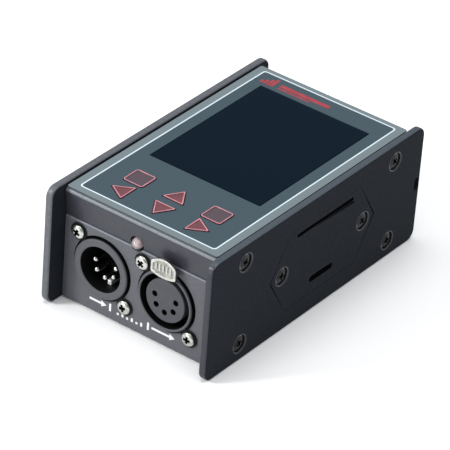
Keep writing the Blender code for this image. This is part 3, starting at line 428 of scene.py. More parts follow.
def add_slab(name, axis, outline, start, end):
    """A prism along an axis: a primitive with as many sides as the outline, moved to its points."""
    slab = add_primitive(bpy.ops.mesh.primitive_cylinder_add, name, vertices=len(outline), radius=1, depth=1)
    shape = open_edit(slab, "VERT")
    for number, corner in enumerate(shape.verts):
        corner.co = on_axis(axis, outline[number // 2], end if number % 2 else start)
    shape.normal_update()
    bmesh.update_edit_mesh(slab.data)
    close_outward()
    return slab


def add_turned(name, axis, centre, profile, steps=ROUND_SIDES):
    """Spin a profile of (radius, place along the axis) round an axis."""
    across = Vector((0, 1, 0)) if axis == "X" else Vector((1, 0, 0))
    places = [on_axis(axis, centre, along) + across * radius for radius, along in profile]
    piece = add_primitive(bpy.ops.mesh.primitive_plane_add, name, size=0.001, location=places[0])
    open_edit(piece, "VERT")
    bpy.ops.mesh.select_all(action="SELECT")
    bpy.ops.mesh.merge(type="CENTER")
    for last, here in zip(places, places[1:]):
        bpy.ops.mesh.extrude_vertices_move(TRANSFORM_OT_translate={"value": here - last})
    bpy.ops.mesh.select_all(action="SELECT")
    bpy.ops.mesh.spin(steps=steps, angle=2 * math.pi, center=on_axis(axis, centre, 0),
                      axis=on_axis(axis, (0, 0), 1))
    bpy.ops.mesh.select_all(action="SELECT")
    bpy.ops.mesh.remove_doubles(threshold=0.2 * HAIR)
    close_outward()
    return piece


def arc_profile(centre, radius, start, end, steps):
    """Profile points on an arc. Angles are in degrees, 0 outwards and 90 along the axis."""
    points = []
    for step in range(steps + 1):
        angle = math.radians(start + (end - start) * step / steps)
        points.append((centre[0] + radius * math.cos(angle), centre[1] + radius * math.sin(angle)))
    return points


def drill(piece, axis, spots, radius, start, end, sides=HOLE_SIDES):
    """Cut round holes along an axis at some places."""
    for spot in spots:
        place = on_axis(axis, spot, (start + end) / 2)
        carve(piece, add_primitive(bpy.ops.mesh.primitive_cylinder_add, "hole", vertices=sides, radius=radius,
                                   depth=abs(end - start), location=place, rotation=AXIS_TURNS[axis]))


# Materials

def fill_sockets(material, node, sockets):
    """Put an even value or another node's result on some sockets of a node."""
    for socket, value in sockets.items():
        if isinstance(value, bpy.types.NodeSocket):
            material.node_tree.links.new(value, node.inputs[socket])
        else:
            node.inputs[socket].default_value = value


def add_node(material, kind, sockets, **settings):
    """A new node of a material, with its settings, values and links."""
    node = material.node_tree.nodes.new(kind)
    for setting, value in settings.items():
        setattr(node, setting, value)
    fill_sockets(material, node, sockets)
    return node


def start_material(name, colour, roughness, metallic=0.0, gloss=0.5):
    """A Principled material with its even values on the shader's own sockets."""
    material = bpy.data.materials.new(name)
    material.use_nodes = True
    shader = material.node_tree.nodes["Principled BSDF"]
    fill_sockets(material, shader, {"Base Color": (*colour, 1), "Roughness": roughness,
                                    "Metallic": metallic, "Specular IOR Level": gloss})
    return material, shader


def add_noise(material, scale):
    """Noise on Object coordinates. The scale is in waves per metre."""
    place = add_node(material, "ShaderNodeTexCoord", {}).outputs["Object"]
    noise = add_node(material, "ShaderNodeTexNoise", {"Vector": place, "Scale": scale, "Detail": 4.0})
    return noise.outputs["Fac"]


def add_bump(material, shader, scale, depth, strength):
    """Fine relief from noise. The depth is in metres."""
    bump = add_node(material, "ShaderNodeBump", {"Height": add_noise(material, scale),
                                                 "Distance": depth, "Strength": strength})
    fill_sockets(material, shader, {"Normal": bump.outputs["Normal"]})


def vary_colour(material, shader, first, second, scale):
    """Colour that wanders between two shades."""
    ramp = add_node(material, "ShaderNodeValToRGB", {"Fac": add_noise(material, scale)})
    for end, place, colour in zip(ramp.color_ramp.elements, (0.35, 0.65), (first, second)):
        end.position = place
        end.color = (*colour, 1)
    fill_sockets(material, shader, {"Base Color": ramp.outputs["Color"]})


def vary_roughness(material, shader, low, high, scale):
    """Roughness that wanders between two values."""
    spread = add_node(material, "ShaderNodeMapRange", {"Value": add_noise(material, scale), "From Min": 0.3,
                                                       "From Max": 0.7, "To Min": low, "To Max": high})
    fill_sockets(material, shader, {"Roughness": spread.outputs["Result"]})


def powder_coat(name, dark, light, roughness, gloss=0.4):
    """Finely grained powder coat."""
    material, shader = start_material(name, dark, roughness, 0, gloss)
    vary_colour(material, shader, dark, light, 900)
    vary_roughness(material, shader, roughness - 0.05, roughness + 0.06, 1600)
    add_bump(material, shader, 5200, 0.00003, 0.5)
    return material


def bare_metal(name, dark, light, roughness, scale):
    """Plated metal with faint stains and polish marks."""
    material, shader = start_material(name, light, roughness, 1.0)
    vary_colour(material, shader, dark, light, scale)
    vary_roughness(material, shader, roughness * 0.8, roughness * 1.35, scale * 2)
    add_bump(material, shader, scale * 4, 0.000008, 0.3)
    return material


def moulded_plastic(name, dark, light, roughness, gloss=0.5):
    """Moulded plastic with a faint matt grain."""
    material, shader = start_material(name, dark, roughness, 0, gloss)
    vary_colour(material, shader, dark, light, 500)
    add_bump(material, shader, 3800, 0.00002, 0.4)
    return material


def even_finish(name, colour, roughness, relief, metallic=0.0, gloss=0.5):
    """An even colour with a faint relief of (waves per metre, depth, strength)."""
    material, shader = start_material(name, colour, roughness, metallic, gloss)
    add_bump(material, shader, *relief)
    return material


def printed_ink(name, colour):
    return even_finish(name, colour, 0.5, (3000, 0.00001, 0.3))


def clear_plastic():
    """The lamp's clear lens, with a breath of red."""
    material, shader = start_material("clear_plastic", (0.92, 0.83, 0.84), 0.06)
    fill_sockets(material, shader, {"Transmission Weight": 0.8})
    add_bump(material, shader, 300, 0.00001, 0.03)
    return material


def overlay_print():
    """The printed sheet: blue-grey inside the border line and a paler margin outside it."""
    dark, light, margin = (0.024, 0.048, 0.063, 1), (0.029, 0.054, 0.070, 1), (0.125, 0.160, 0.176, 1)
    material, shader = start_material("printed_sheet", (0.08, 0.12, 0.15), 0.42)
    place = add_node(material, "ShaderNodeTexCoord", {}).outputs["Object"]
    to_middle = (0, -(BORDER_FRONT_Y + BORDER_REAR_Y) / 2, 0)
    centred = add_node(material, "ShaderNodeMapping", {"Vector": place, "Location": to_middle})
    split = add_node(material, "ShaderNodeSeparateXYZ", {"Vector": centred.outputs["Vector"]})
    beyond = []
    for axis, limit in (("X", BORDER_LEFT), ("Y", (BORDER_REAR_Y - BORDER_FRONT_Y) / 2)):
        size = add_node(material, "ShaderNodeMath", {0: split.outputs[axis]}, operation="ABSOLUTE")
        test = add_node(material, "ShaderNodeMath", {0: size.outputs[0], 1: limit}, operation="GREATER_THAN")
        beyond.append(test.outputs[0])
    either = add_node(material, "ShaderNodeMath", dict(enumerate(beyond)), operation="MAXIMUM")
    inner = add_node(material, "ShaderNodeMix", {"Factor": add_noise(material, 1200), "A": dark, "B": light},
                     data_type="RGBA")
    both = add_node(material, "ShaderNodeMix", {"Factor": either.outputs[0], "A": inner.outputs["Result"],
                                                "B": margin}, data_type="RGBA")
    fill_sockets(material, shader, {"Base Color": both.outputs["Result"]})
    add_bump(material, shader, 4200, 0.00001, 0.4)
    return material


def paint(piece, material, wanted):
    """Paint the faces whose middle and normal pass a test. The first slot is kept for the finish."""
    slots = piece.data.materials
    if not slots:
        slots.append(None)
    slots.append(material)
    number = len(slots) - 1
    for face in piece.data.polygons:
        if wanted(face.center, face.normal):
            face.material_index = number


def finish_piece(piece, material, slot, body, *nodes):
    """Give a piece its finish and its body, and let it stand for CAD nodes."""
    if piece.data.materials:
        piece.data.materials[0] = material
    else:
        piece.data.materials.append(material)
    smooth(piece)
    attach(piece, body)
    if nodes:
        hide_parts(*nodes)


def refinish(material, *nodes):
    """Give CAD nodes that stay a finer material."""
    for node in nodes:
        bpy.data.objects[node].data.materials[0] = material


# Cheeks

def sunk_hole(side, spot):
    """Cutter for a screw hole through a cheek, countersunk from the outer face."""
    wide = SUNK_HEAD_RADIUS + SINK_GAP
    face_x = CHEEK_HIGH.x
    rim_x = face_x - SUNK_DEPTH - SUNK_HEAD_RIM
    inner_x, outer_x = CHEEK_LOW.x - SHEET, face_x + SHEET
    profile = [(0, inner_x), (SCREW_HOLE, inner_x), (SCREW_HOLE, rim_x - wide + SCREW_HOLE), (wide, rim_x)]
    profile += arc_profile((wide + SINK_EDGE, face_x - SINK_EDGE), SINK_EDGE, 180, 90, 4)
    profile += [(wide + SINK_EDGE, outer_x), (0, outer_x)]
    return add_turned("sink", "X", (spot.y, spot.z), [(radius, side * x) for radius, x in profile], 48)


def paint_sinks(piece, wall_shade, painted_edge_light, spots):
    """Paint the screw sinks' walls black as painted shade and their rounded edges lighter as a painted
    highlight.
    """
    reach = SUNK_HEAD_RADIUS + SINK_GAP + SINK_EDGE
    inner_x = CHEEK_HIGH.x - SINK_EDGE

    def is_near(middle):
        return any(math.dist(middle.yz, spot.yz) < reach for spot in spots)

    paint(piece, wall_shade, lambda middle, normal: abs(normal.x) < 0.3 and is_near(middle))
    paint(piece, painted_edge_light, lambda middle, normal: (
        0.3 < abs(normal.x) < 0.99 and abs(middle.x) > inner_x and is_near(middle)))


def make_cheek(word, material, painted_edge_light, painted_front_light, sink_shade_and_highlight):
    """One end cheek with its screw holes and strap slot."""
    side = -1 if word == "left" else 1
    low, high = corners_of(f"{word}_cheek")
    cheek = add_block(f"{word}_cheek_panel", low, high)
    round_corners(cheek, "X", CHEEK_CORNER, 10)
    soften(cheek, CHEEK_EDGE, 4)
    # Painted light and shade: the edges and the front get lighter shades of the cheek coat than the sides,
    # with less light on the right cheek than on the left.
    paint(cheek, painted_edge_light, lambda middle, normal: -0.98 < normal.x * side < 0.75 and normal.y > -0.6)
    paint(cheek, painted_front_light, lambda middle, normal: abs(normal.x) < 0.75 and normal.y <= -0.6)
    spots = cheek_screw_middles(word)
    carve(cheek, *[sunk_hole(side, spot) for spot in spots])
    start, end = low.x - SHEET, high.x + SHEET
    slot_y = high.y - STRAP_SLOT_MARGIN - STRAP_SLOT_SIZE[0] / 2
    carve(cheek, add_slot((slot_y, (low.z + high.z) / 2), STRAP_SLOT_SIZE, start, end))
    if word == "right":
        carve(cheek, plate_blank("pocket", POCKET_GAP, SEAT, high.x - PLATE_THICKNESS - SEAT, end))
        carve(cheek, *plate_cutters(start, end))
        paint_slots(cheek, sink_shade_and_highlight[0])
    paint_sinks(cheek, *sink_shade_and_highlight, spots)
    finish_piece(cheek, material, "charcoal_coat", "case", f"{word}_cheek")


# Side plate

def plate_screw_middles():
    return [middle_of(f"plate_screw_{word}") for word in ("front", "rear")]


def plate_blank(name, grow, lift, start, end):
    """The side plate's long hexagon as a slab along X, grown along Y and lifted along Z."""
    low, high = corners_of("side_plate")
    y, z = PLATE_Y, PLATE_Z
    height = (high.z - low.z) / 2
    slant = math.hypot(height, PLATE_LENGTH / 2 - PLATE_FLAT / 2)
    half = PLATE_LENGTH / 2 + grow * slant / height
    flat = half - (half - PLATE_FLAT / 2) * (height + grow) / height + grow * PLATE_FLAT / PLATE_LENGTH
    height += lift
    outline = [(y + half, z), (y + flat, z + height), (y - flat, z + height),
               (y - half, z), (y - flat, z - height), (y + flat, z - height)]
    blank = add_slab(name, "X", outline, start, end)
    round_corners(blank, "X", PLATE_CORNER, 4)
    return blank


def plate_cutters(start, end):
    """Cutters for the long and the short slot and for the two screws of the side plate."""
    slots = [add_slot((PLATE_Y, PLATE_Z + lift), size, start, end) for size, lift in PLATE_SLOTS]
    return slots + [sunk_hole(1, spot) for spot in plate_screw_middles()]


def paint_slots(piece, wall_shade):
    """Blacken the walls of the side plate's slots and the tongue's ends beside them, as painted shade."""
    for size, lift in PLATE_SLOTS:
        reach_y, reach_z = size[0] / 2 + SEAT, size[1] / 2 + 1.5 * SEAT
        paint(piece, wall_shade, lambda middle, normal: (
            abs(normal.x) < 0.3 and abs(middle.y - PLATE_Y) < reach_y
            and abs(middle.z - PLATE_Z - lift) < reach_z))


def make_side_plate(material, sink_shade_and_highlight):
    """The plate let into the right cheek, with its rising tongue."""
    high_x = corners_of("side_plate")[1].x
    face_x = CHEEK_HIGH.x
    plate = plate_blank("side_plate_panel", 0, SEAT - PLATE_TIGHT, face_x - PLATE_THICKNESS, face_x)
    end_y = PLATE_Y + WEDGE_END
    start_y = end_y - WEDGE_LENGTH
    low_z = PLATE_Z - SHORT_SLOT_DROP + SHORT_SLOT_SIZE[1] / 2 + SEAT
    high_z = PLATE_Z + LONG_SLOT_LIFT - LONG_SLOT_SIZE[1] / 2 - SEAT
    root_x = face_x - PLATE_THICKNESS / 2
    ramp = [(face_x - WEDGE_SINK, start_y), (root_x, start_y), (root_x, end_y), (high_x, end_y)]
    tongue = add_slab("tongue", "Z", ramp, low_z, high_z)
    soften(plate, FINE_EDGE)
    weld(plate, tongue)
    carve(plate, *plate_cutters(face_x - 2 * SHEET, face_x + 2 * SHEET))
    paint_slots(plate, sink_shade_and_highlight[0])
    paint_sinks(plate, *sink_shade_and_highlight, plate_screw_middles())
    finish_piece(plate, material, "charcoal_coat", "case", "side_plate")


# Folded sheets

def fold_sheet(name, half_width, path, bend):
    """A sheet folded along a path of (y, z), its outer face on the path, its bends rounded."""
    sheet = add_primitive(bpy.ops.mesh.primitive_plane_add, name, size=1)
    shape = open_edit(sheet, "VERT")
    for corner in shape.verts:
        place = path[1] if corner.co.y > 0 else path[0]
        corner.co = Vector((math.copysign(half_width, corner.co.x), *place))
    bmesh.update_edit_mesh(sheet.data)
    close_edit()
    for last, here in zip(path[1:], path[2:]):
        select_parts(sheet, "EDGE", lambda edge: lies_at(edge, [last]))
        step = Vector((0, here[0] - last[0], here[1] - last[1]))
        bpy.ops.mesh.extrude_region_move(TRANSFORM_OT_translate={"value": step})
        close_edit()
    select_parts(sheet, "EDGE", lambda edge: lies_at(edge, path[1:-1]))
    bpy.ops.mesh.bevel(offset=bend, offset_type="OFFSET", segments=8, affect="EDGES")
    close_outward()
    return sheet


def thicken(sheet, outside):
    """Give a folded sheet its thickness, away from the side that an outside point lies on."""
    shape = open_edit(sheet, "FACE")
    face = max(shape.faces, key=lambda item: item.calc_area())
    if face.normal.dot(Vector(outside) - face.calc_center_median()) < 0:
        bpy.ops.mesh.select_all(action="SELECT")
        bpy.ops.mesh.flip_normals()
    close_edit()
    apply_modifier(sheet, "SOLIDIFY", thickness=SHEET, offset=-1, use_even_offset=True)


def add_flanges(sheet, low_z, high_z, hole_z):
    """Join a flange to each side of a folded sheet and drill it for the cheek screws."""
    outer_x = SHELL_HIGH.x - FLANGE_INSET
    start, end = SHELL_LOW.y + FLANGE_END, SHELL_HIGH.y - FLANGE_END
    spots = [(y, hole_z) for y in screw_rows("Y")]
    for side in (-1, 1):
        xs = sorted((side * outer_x, side * (outer_x - SHEET)))
        weld(sheet, add_block("flange", (xs[0], start, low_z), (xs[1], end, high_z)))
        drill(sheet, "X", spots, SCREW_HOLE, side * (outer_x - 2 * SHEET), side * (outer_x + SHEET))


def drill_for_lamp(sheet):
    spot = middle_of("status_lamp")
    drill(sheet, "Y", [(spot.x, spot.z)], LAMP_HOLE, COVER_LOW.y - SHEET, SHELL_LOW.y + 2 * SHEET, 64)


def stem_channel(start, end):
    """Cutter along Y for the channel that the release tab's stem slides in."""
    half = STEM_WIDTH / 2 + SEAT
    low_z = CONNECTOR_Z + FEMALE_BORE - HOOK_DEPTH - SEAT
    high_z = CONNECTOR_Z + STEM_LIFT + STEM_THICKNESS + SEAT
    return add_block("channel", (TAB_X - half, start, low_z), (TAB_X + half, end, high_z))


def make_cover(material, painted_edge_light):
    """The folded cover: deck, front and rear band, and a flange along each cheek."""
    foot_z = SHELL_HIGH.z + FOOT_GAP
    path = [(SHELL_LOW.y + PANEL_LEDGE, foot_z), (COVER_LOW.y, COVER_HIGH.z),
            (COVER_HIGH.y, COVER_HIGH.z), (SHELL_HIGH.y - PANEL_LEDGE, foot_z)]
    cover = fold_sheet("cover_sheet", COVER_HIGH.x, path, BEND)
    thicken(cover, (0, 0, 1))
    # Painted highlight: the rounded bends, facing partly up, get a lighter coat.
    paint(cover, painted_edge_light, lambda middle, normal: 0.2 < normal.z < 0.97)
    deck_bottom = COVER_HIGH.z - SHEET
    add_flanges(cover, deck_bottom - FLANGE_DEPTH, COVER_HIGH.z - SHEET / 2, screw_rows("Z")[1])
    carve(cover, *deck_cutters(deck_bottom - SHEET, COVER_HIGH.z + SHEET, -WINDOW_LEDGE))
    drill_for_lamp(cover)
    finish_piece(cover, material, "grey_coat", "case", "top_cover")


def make_shell(material, painted_edge_light):
    """The folded shell: connector panel, floor, rear panel and a flange along each cheek."""
    path = [(SHELL_LOW.y, SHELL_HIGH.z), (SHELL_LOW.y, 0), (SHELL_HIGH.y, 0), (SHELL_HIGH.y, SHELL_HIGH.z)]
    shell = fold_sheet("shell_sheet", SHELL_HIGH.x, path, FLOOR_BEND)
    thicken(shell, (0, 0, -1))
    select_parts(shell, "EDGE", lambda edge: lies_at(edge, [path[0], path[-1]]))
    bpy.ops.mesh.bevel(offset=SHEET_EDGE, segments=4, affect="EDGES")
    close_edit()
    # Painted highlight: the bevel along the top edge of the front and rear panels gets a lighter coat.
    edge_z = SHELL_HIGH.z - SHEET_EDGE - HAIR
    paint(shell, painted_edge_light, lambda middle, normal: middle.z > edge_z and 0.15 < normal.z < 0.95)
    add_flanges(shell, SHEET / 2, SHEET + FLANGE_DEPTH, screw_rows("Z")[0])
    start, end = SHELL_LOW.y - SHEET, SHELL_LOW.y + 2 * SHEET
    for word in ("male", "female"):
        centre = (middle_of(f"{word}_shell").x, CONNECTOR_Z)
        drill(shell, "Y", [centre], COLLAR_RADIUS + COLLAR_GAP, start, end, ROUND_SIDES)
        drill(shell, "Y", connector_screws(centre[0]), SCREW_HOLE, start, end)
    drill_for_lamp(shell)
    carve(shell, stem_channel(start, end))
    carve(shell, port_blank("port_hole", PORT_GAP, SHELL_HIGH.y - 2 * SHEET, SHELL_HIGH.y + SHEET))
    finish_piece(shell, material, "grey_coat", "case", "base_shell")


# Keys

def key_centre(node):
    """Middle of a key's outline. An up or down key is set by its straight side."""
    low, high = corners_of(node)
    centre = (low + high) / 2
    if node == "key_up":
        centre.y = low.y + KEY_TRIANGLE_HEIGHT / 2
    if node == "key_down":
        centre.y = high.y - KEY_TRIANGLE_HEIGHT / 2
    return centre.xy


def key_blank(name, node, grow, low_z, high_z):
    """A key's outline as a slab along Z, widened by a gap, or narrowed where it is negative."""
    centre = key_centre(node)
    if "square" in node:
        half = KEY_SQUARE / 2 + grow
        rounding = KEY_CORNER + grow
        blank = add_bar(name, "Z", centre, (half, half), low_z, high_z)
    else:
        reach = grow / math.sin(math.atan2(KEY_TRIANGLE_BASE / 2, KEY_TRIANGLE_HEIGHT))
        half = KEY_TRIANGLE_BASE / 2 * (KEY_TRIANGLE_HEIGHT + grow + reach) / KEY_TRIANGLE_HEIGHT
        foot = -KEY_TRIANGLE_HEIGHT / 2 - grow
        rounding = KEY_POINT + grow
        turn = Matrix.Rotation(math.radians(KEY_TURNS[node]), 2)
        outline = [(half, foot), (0, KEY_TRIANGLE_HEIGHT / 2 + reach), (-half, foot)]
        blank = add_slab(name, "Z", [turn @ Vector(corner) + centre for corner in outline], low_z, high_z)
    round_corners(blank, "Z", max(rounding, KEY_FIELD_CORNER))
    return blank


def make_key(node, cap_material, rim_material):
    """A key cap with a raised rim round a slightly hollow field, on its lip."""
    low, high = corners_of(node)
    cap = key_blank(f"{node}_cap", node, 0, low.z + KEY_CAP_LIFT, high.z)
    carve(cap, key_blank("field", node, -KEY_RIM_WIDTH, high.z - KEY_RIM_DEPTH, high.z + SHEET))
    soften(cap, THIN_EDGE, angle=60)
    weld(cap, add_bar("lip", "Z", key_centre(node), KEY_LIP_HALF, low.z, low.z + KEY_LIP_HEIGHT))
    paint(cap, rim_material, lambda middle, normal: middle.z > high.z - 12 * HAIR)
    finish_piece(cap, cap_material, "red_key", KEY_BODIES[node], node)


# Overlay, window and border line

def deck_cutters(low_z, high_z, window_grow):
    """Cutters for the window and the six keys."""
    reach = Vector((window_grow, window_grow))
    low, high = WINDOW_LOW.xy - reach, WINDOW_HIGH.xy + reach
    window = add_block("window_hole", (*low, low_z), (*high, high_z))
    return [window] + [key_blank("key_hole", node, KEY_GAP, low_z, high_z) for node in KEY_BODIES]


def make_overlay(material, side_shade):
    """The printed sheet, with painted shade on its cut sides."""
    overlay = add_block("overlay_sheet", OVERLAY_LOW, OVERLAY_HIGH)
    round_corners(overlay, "Z", OVERLAY_CORNER)
    soften(overlay, FINE_EDGE)
    paint(overlay, side_shade, lambda middle, normal: abs(normal.z) < 0.5)
    carve(overlay, *deck_cutters(OVERLAY_LOW.z - SHEET, OVERLAY_HIGH.z + SHEET, SEAT))
    finish_piece(overlay, material, "printed_sheet", "case", "overlay")


def make_border(material):
    """The white line printed round the overlay."""
    face = OVERLAY_HIGH.z
    half = BORDER_WIDTH / 2
    left, right, front, rear = -BORDER_LEFT, BORDER_LEFT, BORDER_FRONT_Y, BORDER_REAR_Y
    line = add_block("border_line", (left - half, front - half, face - PRINT_PROUD),
                     (right + half, rear + half, face + PRINT_PROUD))
    inner = add_block("inner", (left + half, front + half, face - SHEET),
                      (right - half, rear - half, face + SHEET))
    round_corners(line, "Z", BORDER_CORNER)
    round_corners(inner, "Z", BORDER_CORNER - half)
    carve(line, inner)
    finish_piece(line, material, "printed_sheet", "case")


def make_window(material):
    window = add_block("window_pane", WINDOW_LOW, WINDOW_HIGH)
    soften(window, THIN_EDGE)
    finish_piece(window, material, "dark_window", "case", "display_window")


# Connectors

def connector_screws(centre_x):
    """The (x, z) of a connector's two screws."""
    return [(centre_x - side * CONNECTOR_SCREW, CONNECTOR_Z + side * CONNECTOR_SCREW) for side in (1, -1)]


def contact_places(centre_x):
    """The (x, z) of a connector's five contacts."""
    angles = [CONTACT_STEP * number for number in range(-2, 3)]
    return [(centre_x + CONTACT_CIRCLE * math.sin(angle), CONNECTOR_Z - CONTACT_CIRCLE * math.cos(angle))
            for angle in angles]


def make_connector_shell(word, bore, floor_hole, dark):
    """A shell with a collar through the panel and a square flange behind it."""
    low, high = corners_of(f"{word}_shell")
    centre = ((low.x + high.x) / 2, CONNECTOR_Z)
    front, floor = low.y, low.y + CAVITY_DEPTH
    rear = floor + SHELL_FLOOR
    flange_front = SHELL_LOW.y + SHEET + SEAT
    flange_rear = flange_front + FLANGE_THICKNESS
    lip = min(COLLAR_ROUND, (COLLAR_RADIUS - bore) * 0.7)
    inner_lip = min(BORE_ROUND, (COLLAR_RADIUS - bore) * 0.25)
    step_y = (flange_front + flange_rear) / 2
    shell_radius = COLLAR_RADIUS + SHELL_STEP
    profile = [(floor_hole, rear), (floor_hole, floor), (bore, floor)]
    profile += arc_profile((bore + inner_lip, front + inner_lip), inner_lip, 180, 270, 4)
    profile += arc_profile((COLLAR_RADIUS - lip, front + lip), lip, 270, 360, 8)
    profile += [(COLLAR_RADIUS, step_y), (shell_radius, step_y), (shell_radius, rear), (floor_hole, rear)]
    collar = add_turned(f"{word}_collar", "Y", centre, profile)
    flange = add_block("flange", (low.x, flange_front, low.z), (high.x, flange_rear, high.z))
    round_corners(flange, "Y", FLANGE_CORNER)
    before, behind = flange_front - SHEET, flange_rear + SHEET
    drill(flange, "Y", [centre], COLLAR_RADIUS - SEAT, before, behind, ROUND_SIDES)
    weld(collar, flange)
    drill(collar, "Y", connector_screws(centre[0]), SCREW_HOLE, before, rear + SHEET)

    # Painted shade: the bore and everything behind the collar's front lip, its outer wall and the flange
    # behind the panel, are painted black.
    def is_dark(middle, normal):
        reach = math.dist((middle.x, middle.z), centre)
        in_bore = reach < bore + 5 * HAIR and middle.y > front + inner_lip
        return in_bore or reach > COLLAR_RADIUS - 10 * HAIR and middle.y > front + lip + HAIR

    paint(collar, dark, is_dark)
    return collar


def make_key_ridge(shell, material, rear):
    """Join the key ridge to the bottom of the male connector's bore."""
    centre_x = middle_of("male_shell").x
    front, half = rear - KEY_RIDGE_LENGTH, KEY_RIDGE_WIDTH / 2
    bottom = CONNECTOR_Z - MALE_BORE
    top = bottom + KEY_RIDGE_HEIGHT
    ridge = add_block("ridge", (centre_x - half, front, bottom - SHEET / 2), (centre_x + half, rear, top))
    soften(ridge, KEY_RIDGE_EDGE, 3)
    weld(shell, ridge)
    # The ridge is bare metal painted near white: metal and a painted highlight in the dark bore.
    paint(shell, material, lambda middle, normal: (
        abs(middle.x - centre_x) < half + HAIR and bottom + 15 * HAIR < middle.z < top + HAIR
        and front - HAIR < middle.y < rear + HAIR))


def make_male(material, dark, carrier_material, contact_material, ridge_highlight_material):
    """Male connector: shell, pin carrier and five pins."""
    shell = make_connector_shell("male", MALE_BORE, CARRIER_HOLE, dark)
    low, high = corners_of("male_pin_carrier")
    make_key_ridge(shell, ridge_highlight_material, low.y - SEAT)
    finish_piece(shell, material, "connector_shell", "case", "male_shell")
    centre_x, radius = (low.x + high.x) / 2, MALE_BORE - SEAT
    profile = [(0, low.y)]
    profile += arc_profile((radius - CARRIER_EDGE, low.y + CARRIER_EDGE), CARRIER_EDGE, 270, 360, 4)
    profile += [(radius, high.y), (0, high.y)]
    carrier = add_turned("pin_carrier_disc", "Y", (centre_x, CONNECTOR_Z), profile)
    drill(carrier, "Y", contact_places(centre_x), PIN_RADIUS + SEAT, low.y - SHEET, high.y + SHEET)
    finish_piece(carrier, carrier_material, "carrier_black", "case", "male_pin_carrier")
    for number, spot in enumerate(contact_places(centre_x), 1):
        tip, rear = (corner.y for corner in corners_of(f"male_pin_{number}"))
        profile = arc_profile((0, tip + PIN_RADIUS), PIN_RADIUS, 270, 360, 8)
        profile += [(PIN_RADIUS, rear), (0, rear)]
        pin = add_turned(f"contact_pin_{number}", "Y", spot, profile, 40)
        finish_piece(pin, contact_material, "contact_silver", "case", f"male_pin_{number}")


def make_female_shell(material, dark):
    """The female connector's shell, with a channel and room for the release tab."""
    shell = make_connector_shell("female", FEMALE_BORE, INSERT_RADIUS + SEAT, dark)
    start = corners_of("female_insert")[0].y - 2 * SHEET
    carve(shell, stem_channel(start, corners_of("tab_spring")[1].y + TAB_TRAVEL + SEAT))
    room_low = (TAB_LOW.x - SEAT, start, CONNECTOR_Z + TAB_LIFT - TAB_LOWER_BULGE - SEAT)
    room_high = (TAB_HIGH.x + SEAT, TAB_LOW.y + TAB_THICKNESS + TAB_TRAVEL + SEAT,
                 CONNECTOR_Z + COLLAR_RADIUS + SHELL_STEP + SHEET)
    carve(shell, add_block("tab_room", room_low, room_high))
    finish_piece(shell, material, "connector_shell", "case", "female_shell")


def make_insert(material, dark):
    """The female connector's insert with its shoulder and five sockets."""
    low, high = corners_of("female_insert")
    centre_x = middle_of("female_shell").x
    shoulder = FEMALE_BORE - SEAT
    shoulder_rear = corners_of("female_shell")[0].y + CAVITY_DEPTH - SEAT
    shoulder_front = shoulder_rear - INSERT_SHOULDER
    profile = [(0, low.y)]
    profile += arc_profile((INSERT_RADIUS - INSERT_EDGE, low.y + INSERT_EDGE), INSERT_EDGE, 270, 360, 4)
    profile += [(INSERT_RADIUS, shoulder_front), (shoulder, shoulder_front), (shoulder, shoulder_rear),
                (INSERT_RADIUS, shoulder_rear), (INSERT_RADIUS, high.y), (0, high.y)]
    insert = add_turned("socket_insert", "Y", (centre_x, CONNECTOR_Z), profile)
    drill(insert, "Y", contact_places(centre_x), SOCKET_RADIUS, low.y - SHEET, low.y + SOCKET_DEPTH, 40)

    # Painted shade: the socket walls are painted black.
    def in_socket(middle, normal):
        reach = math.dist((middle.x, middle.z), (centre_x, CONNECTOR_Z))
        return middle.y > low.y + 10 * HAIR and reach < INSERT_RADIUS - INSERT_EDGE

    paint(insert, dark, in_socket)
    finish_piece(insert, material, "insert_grey", "case", "female_insert")


# Release tab

def tab_blank(name, grow, start, end):
    """The tab's lens outline as a slab along Y, narrowed where grow is negative."""
    half = (TAB_HIGH.x - TAB_LOW.x) / 2 + grow
    low_z = CONNECTOR_Z + TAB_LIFT - grow
    high_z = CONNECTOR_Z + TAB_LIFT + TAB_END_HEIGHT + grow
    shares = [step / 12 for step in range(-12, 13)]
    outline = [(TAB_X + half * share, low_z - TAB_LOWER_BULGE * (1 - share ** 2)) for share in shares]
    outline += [(TAB_X - half * share, high_z + TAB_UPPER_BULGE * (1 - share ** 2)) for share in shares]
    blank = add_slab(name, "Y", outline, start, end)
    round_corners(blank, "Y", TAB_CORNER if grow == 0 else TAB_CORNER / 2, 5)
    return blank


def make_stem(start, end):
    """The tab's stem along Y with a hook under its rear end."""
    stem_low = CONNECTOR_Z + STEM_LIFT
    stem_high = stem_low + STEM_THICKNESS
    left, right = TAB_X - STEM_WIDTH / 2, TAB_X + STEM_WIDTH / 2
    stem = add_block("stem", (left, start, stem_low), (right, end, stem_high))
    root_z = (stem_low + stem_high) / 2
    barb = [(end - 1.5 * HOOK_LENGTH, stem_low), (end - HOOK_LENGTH, TAB_LOW.z), (end, TAB_LOW.z),
            (end, root_z), (end - 1.5 * HOOK_LENGTH, root_z)]
    weld(stem, add_slab("hook", "X", barb, left, right))
    return stem


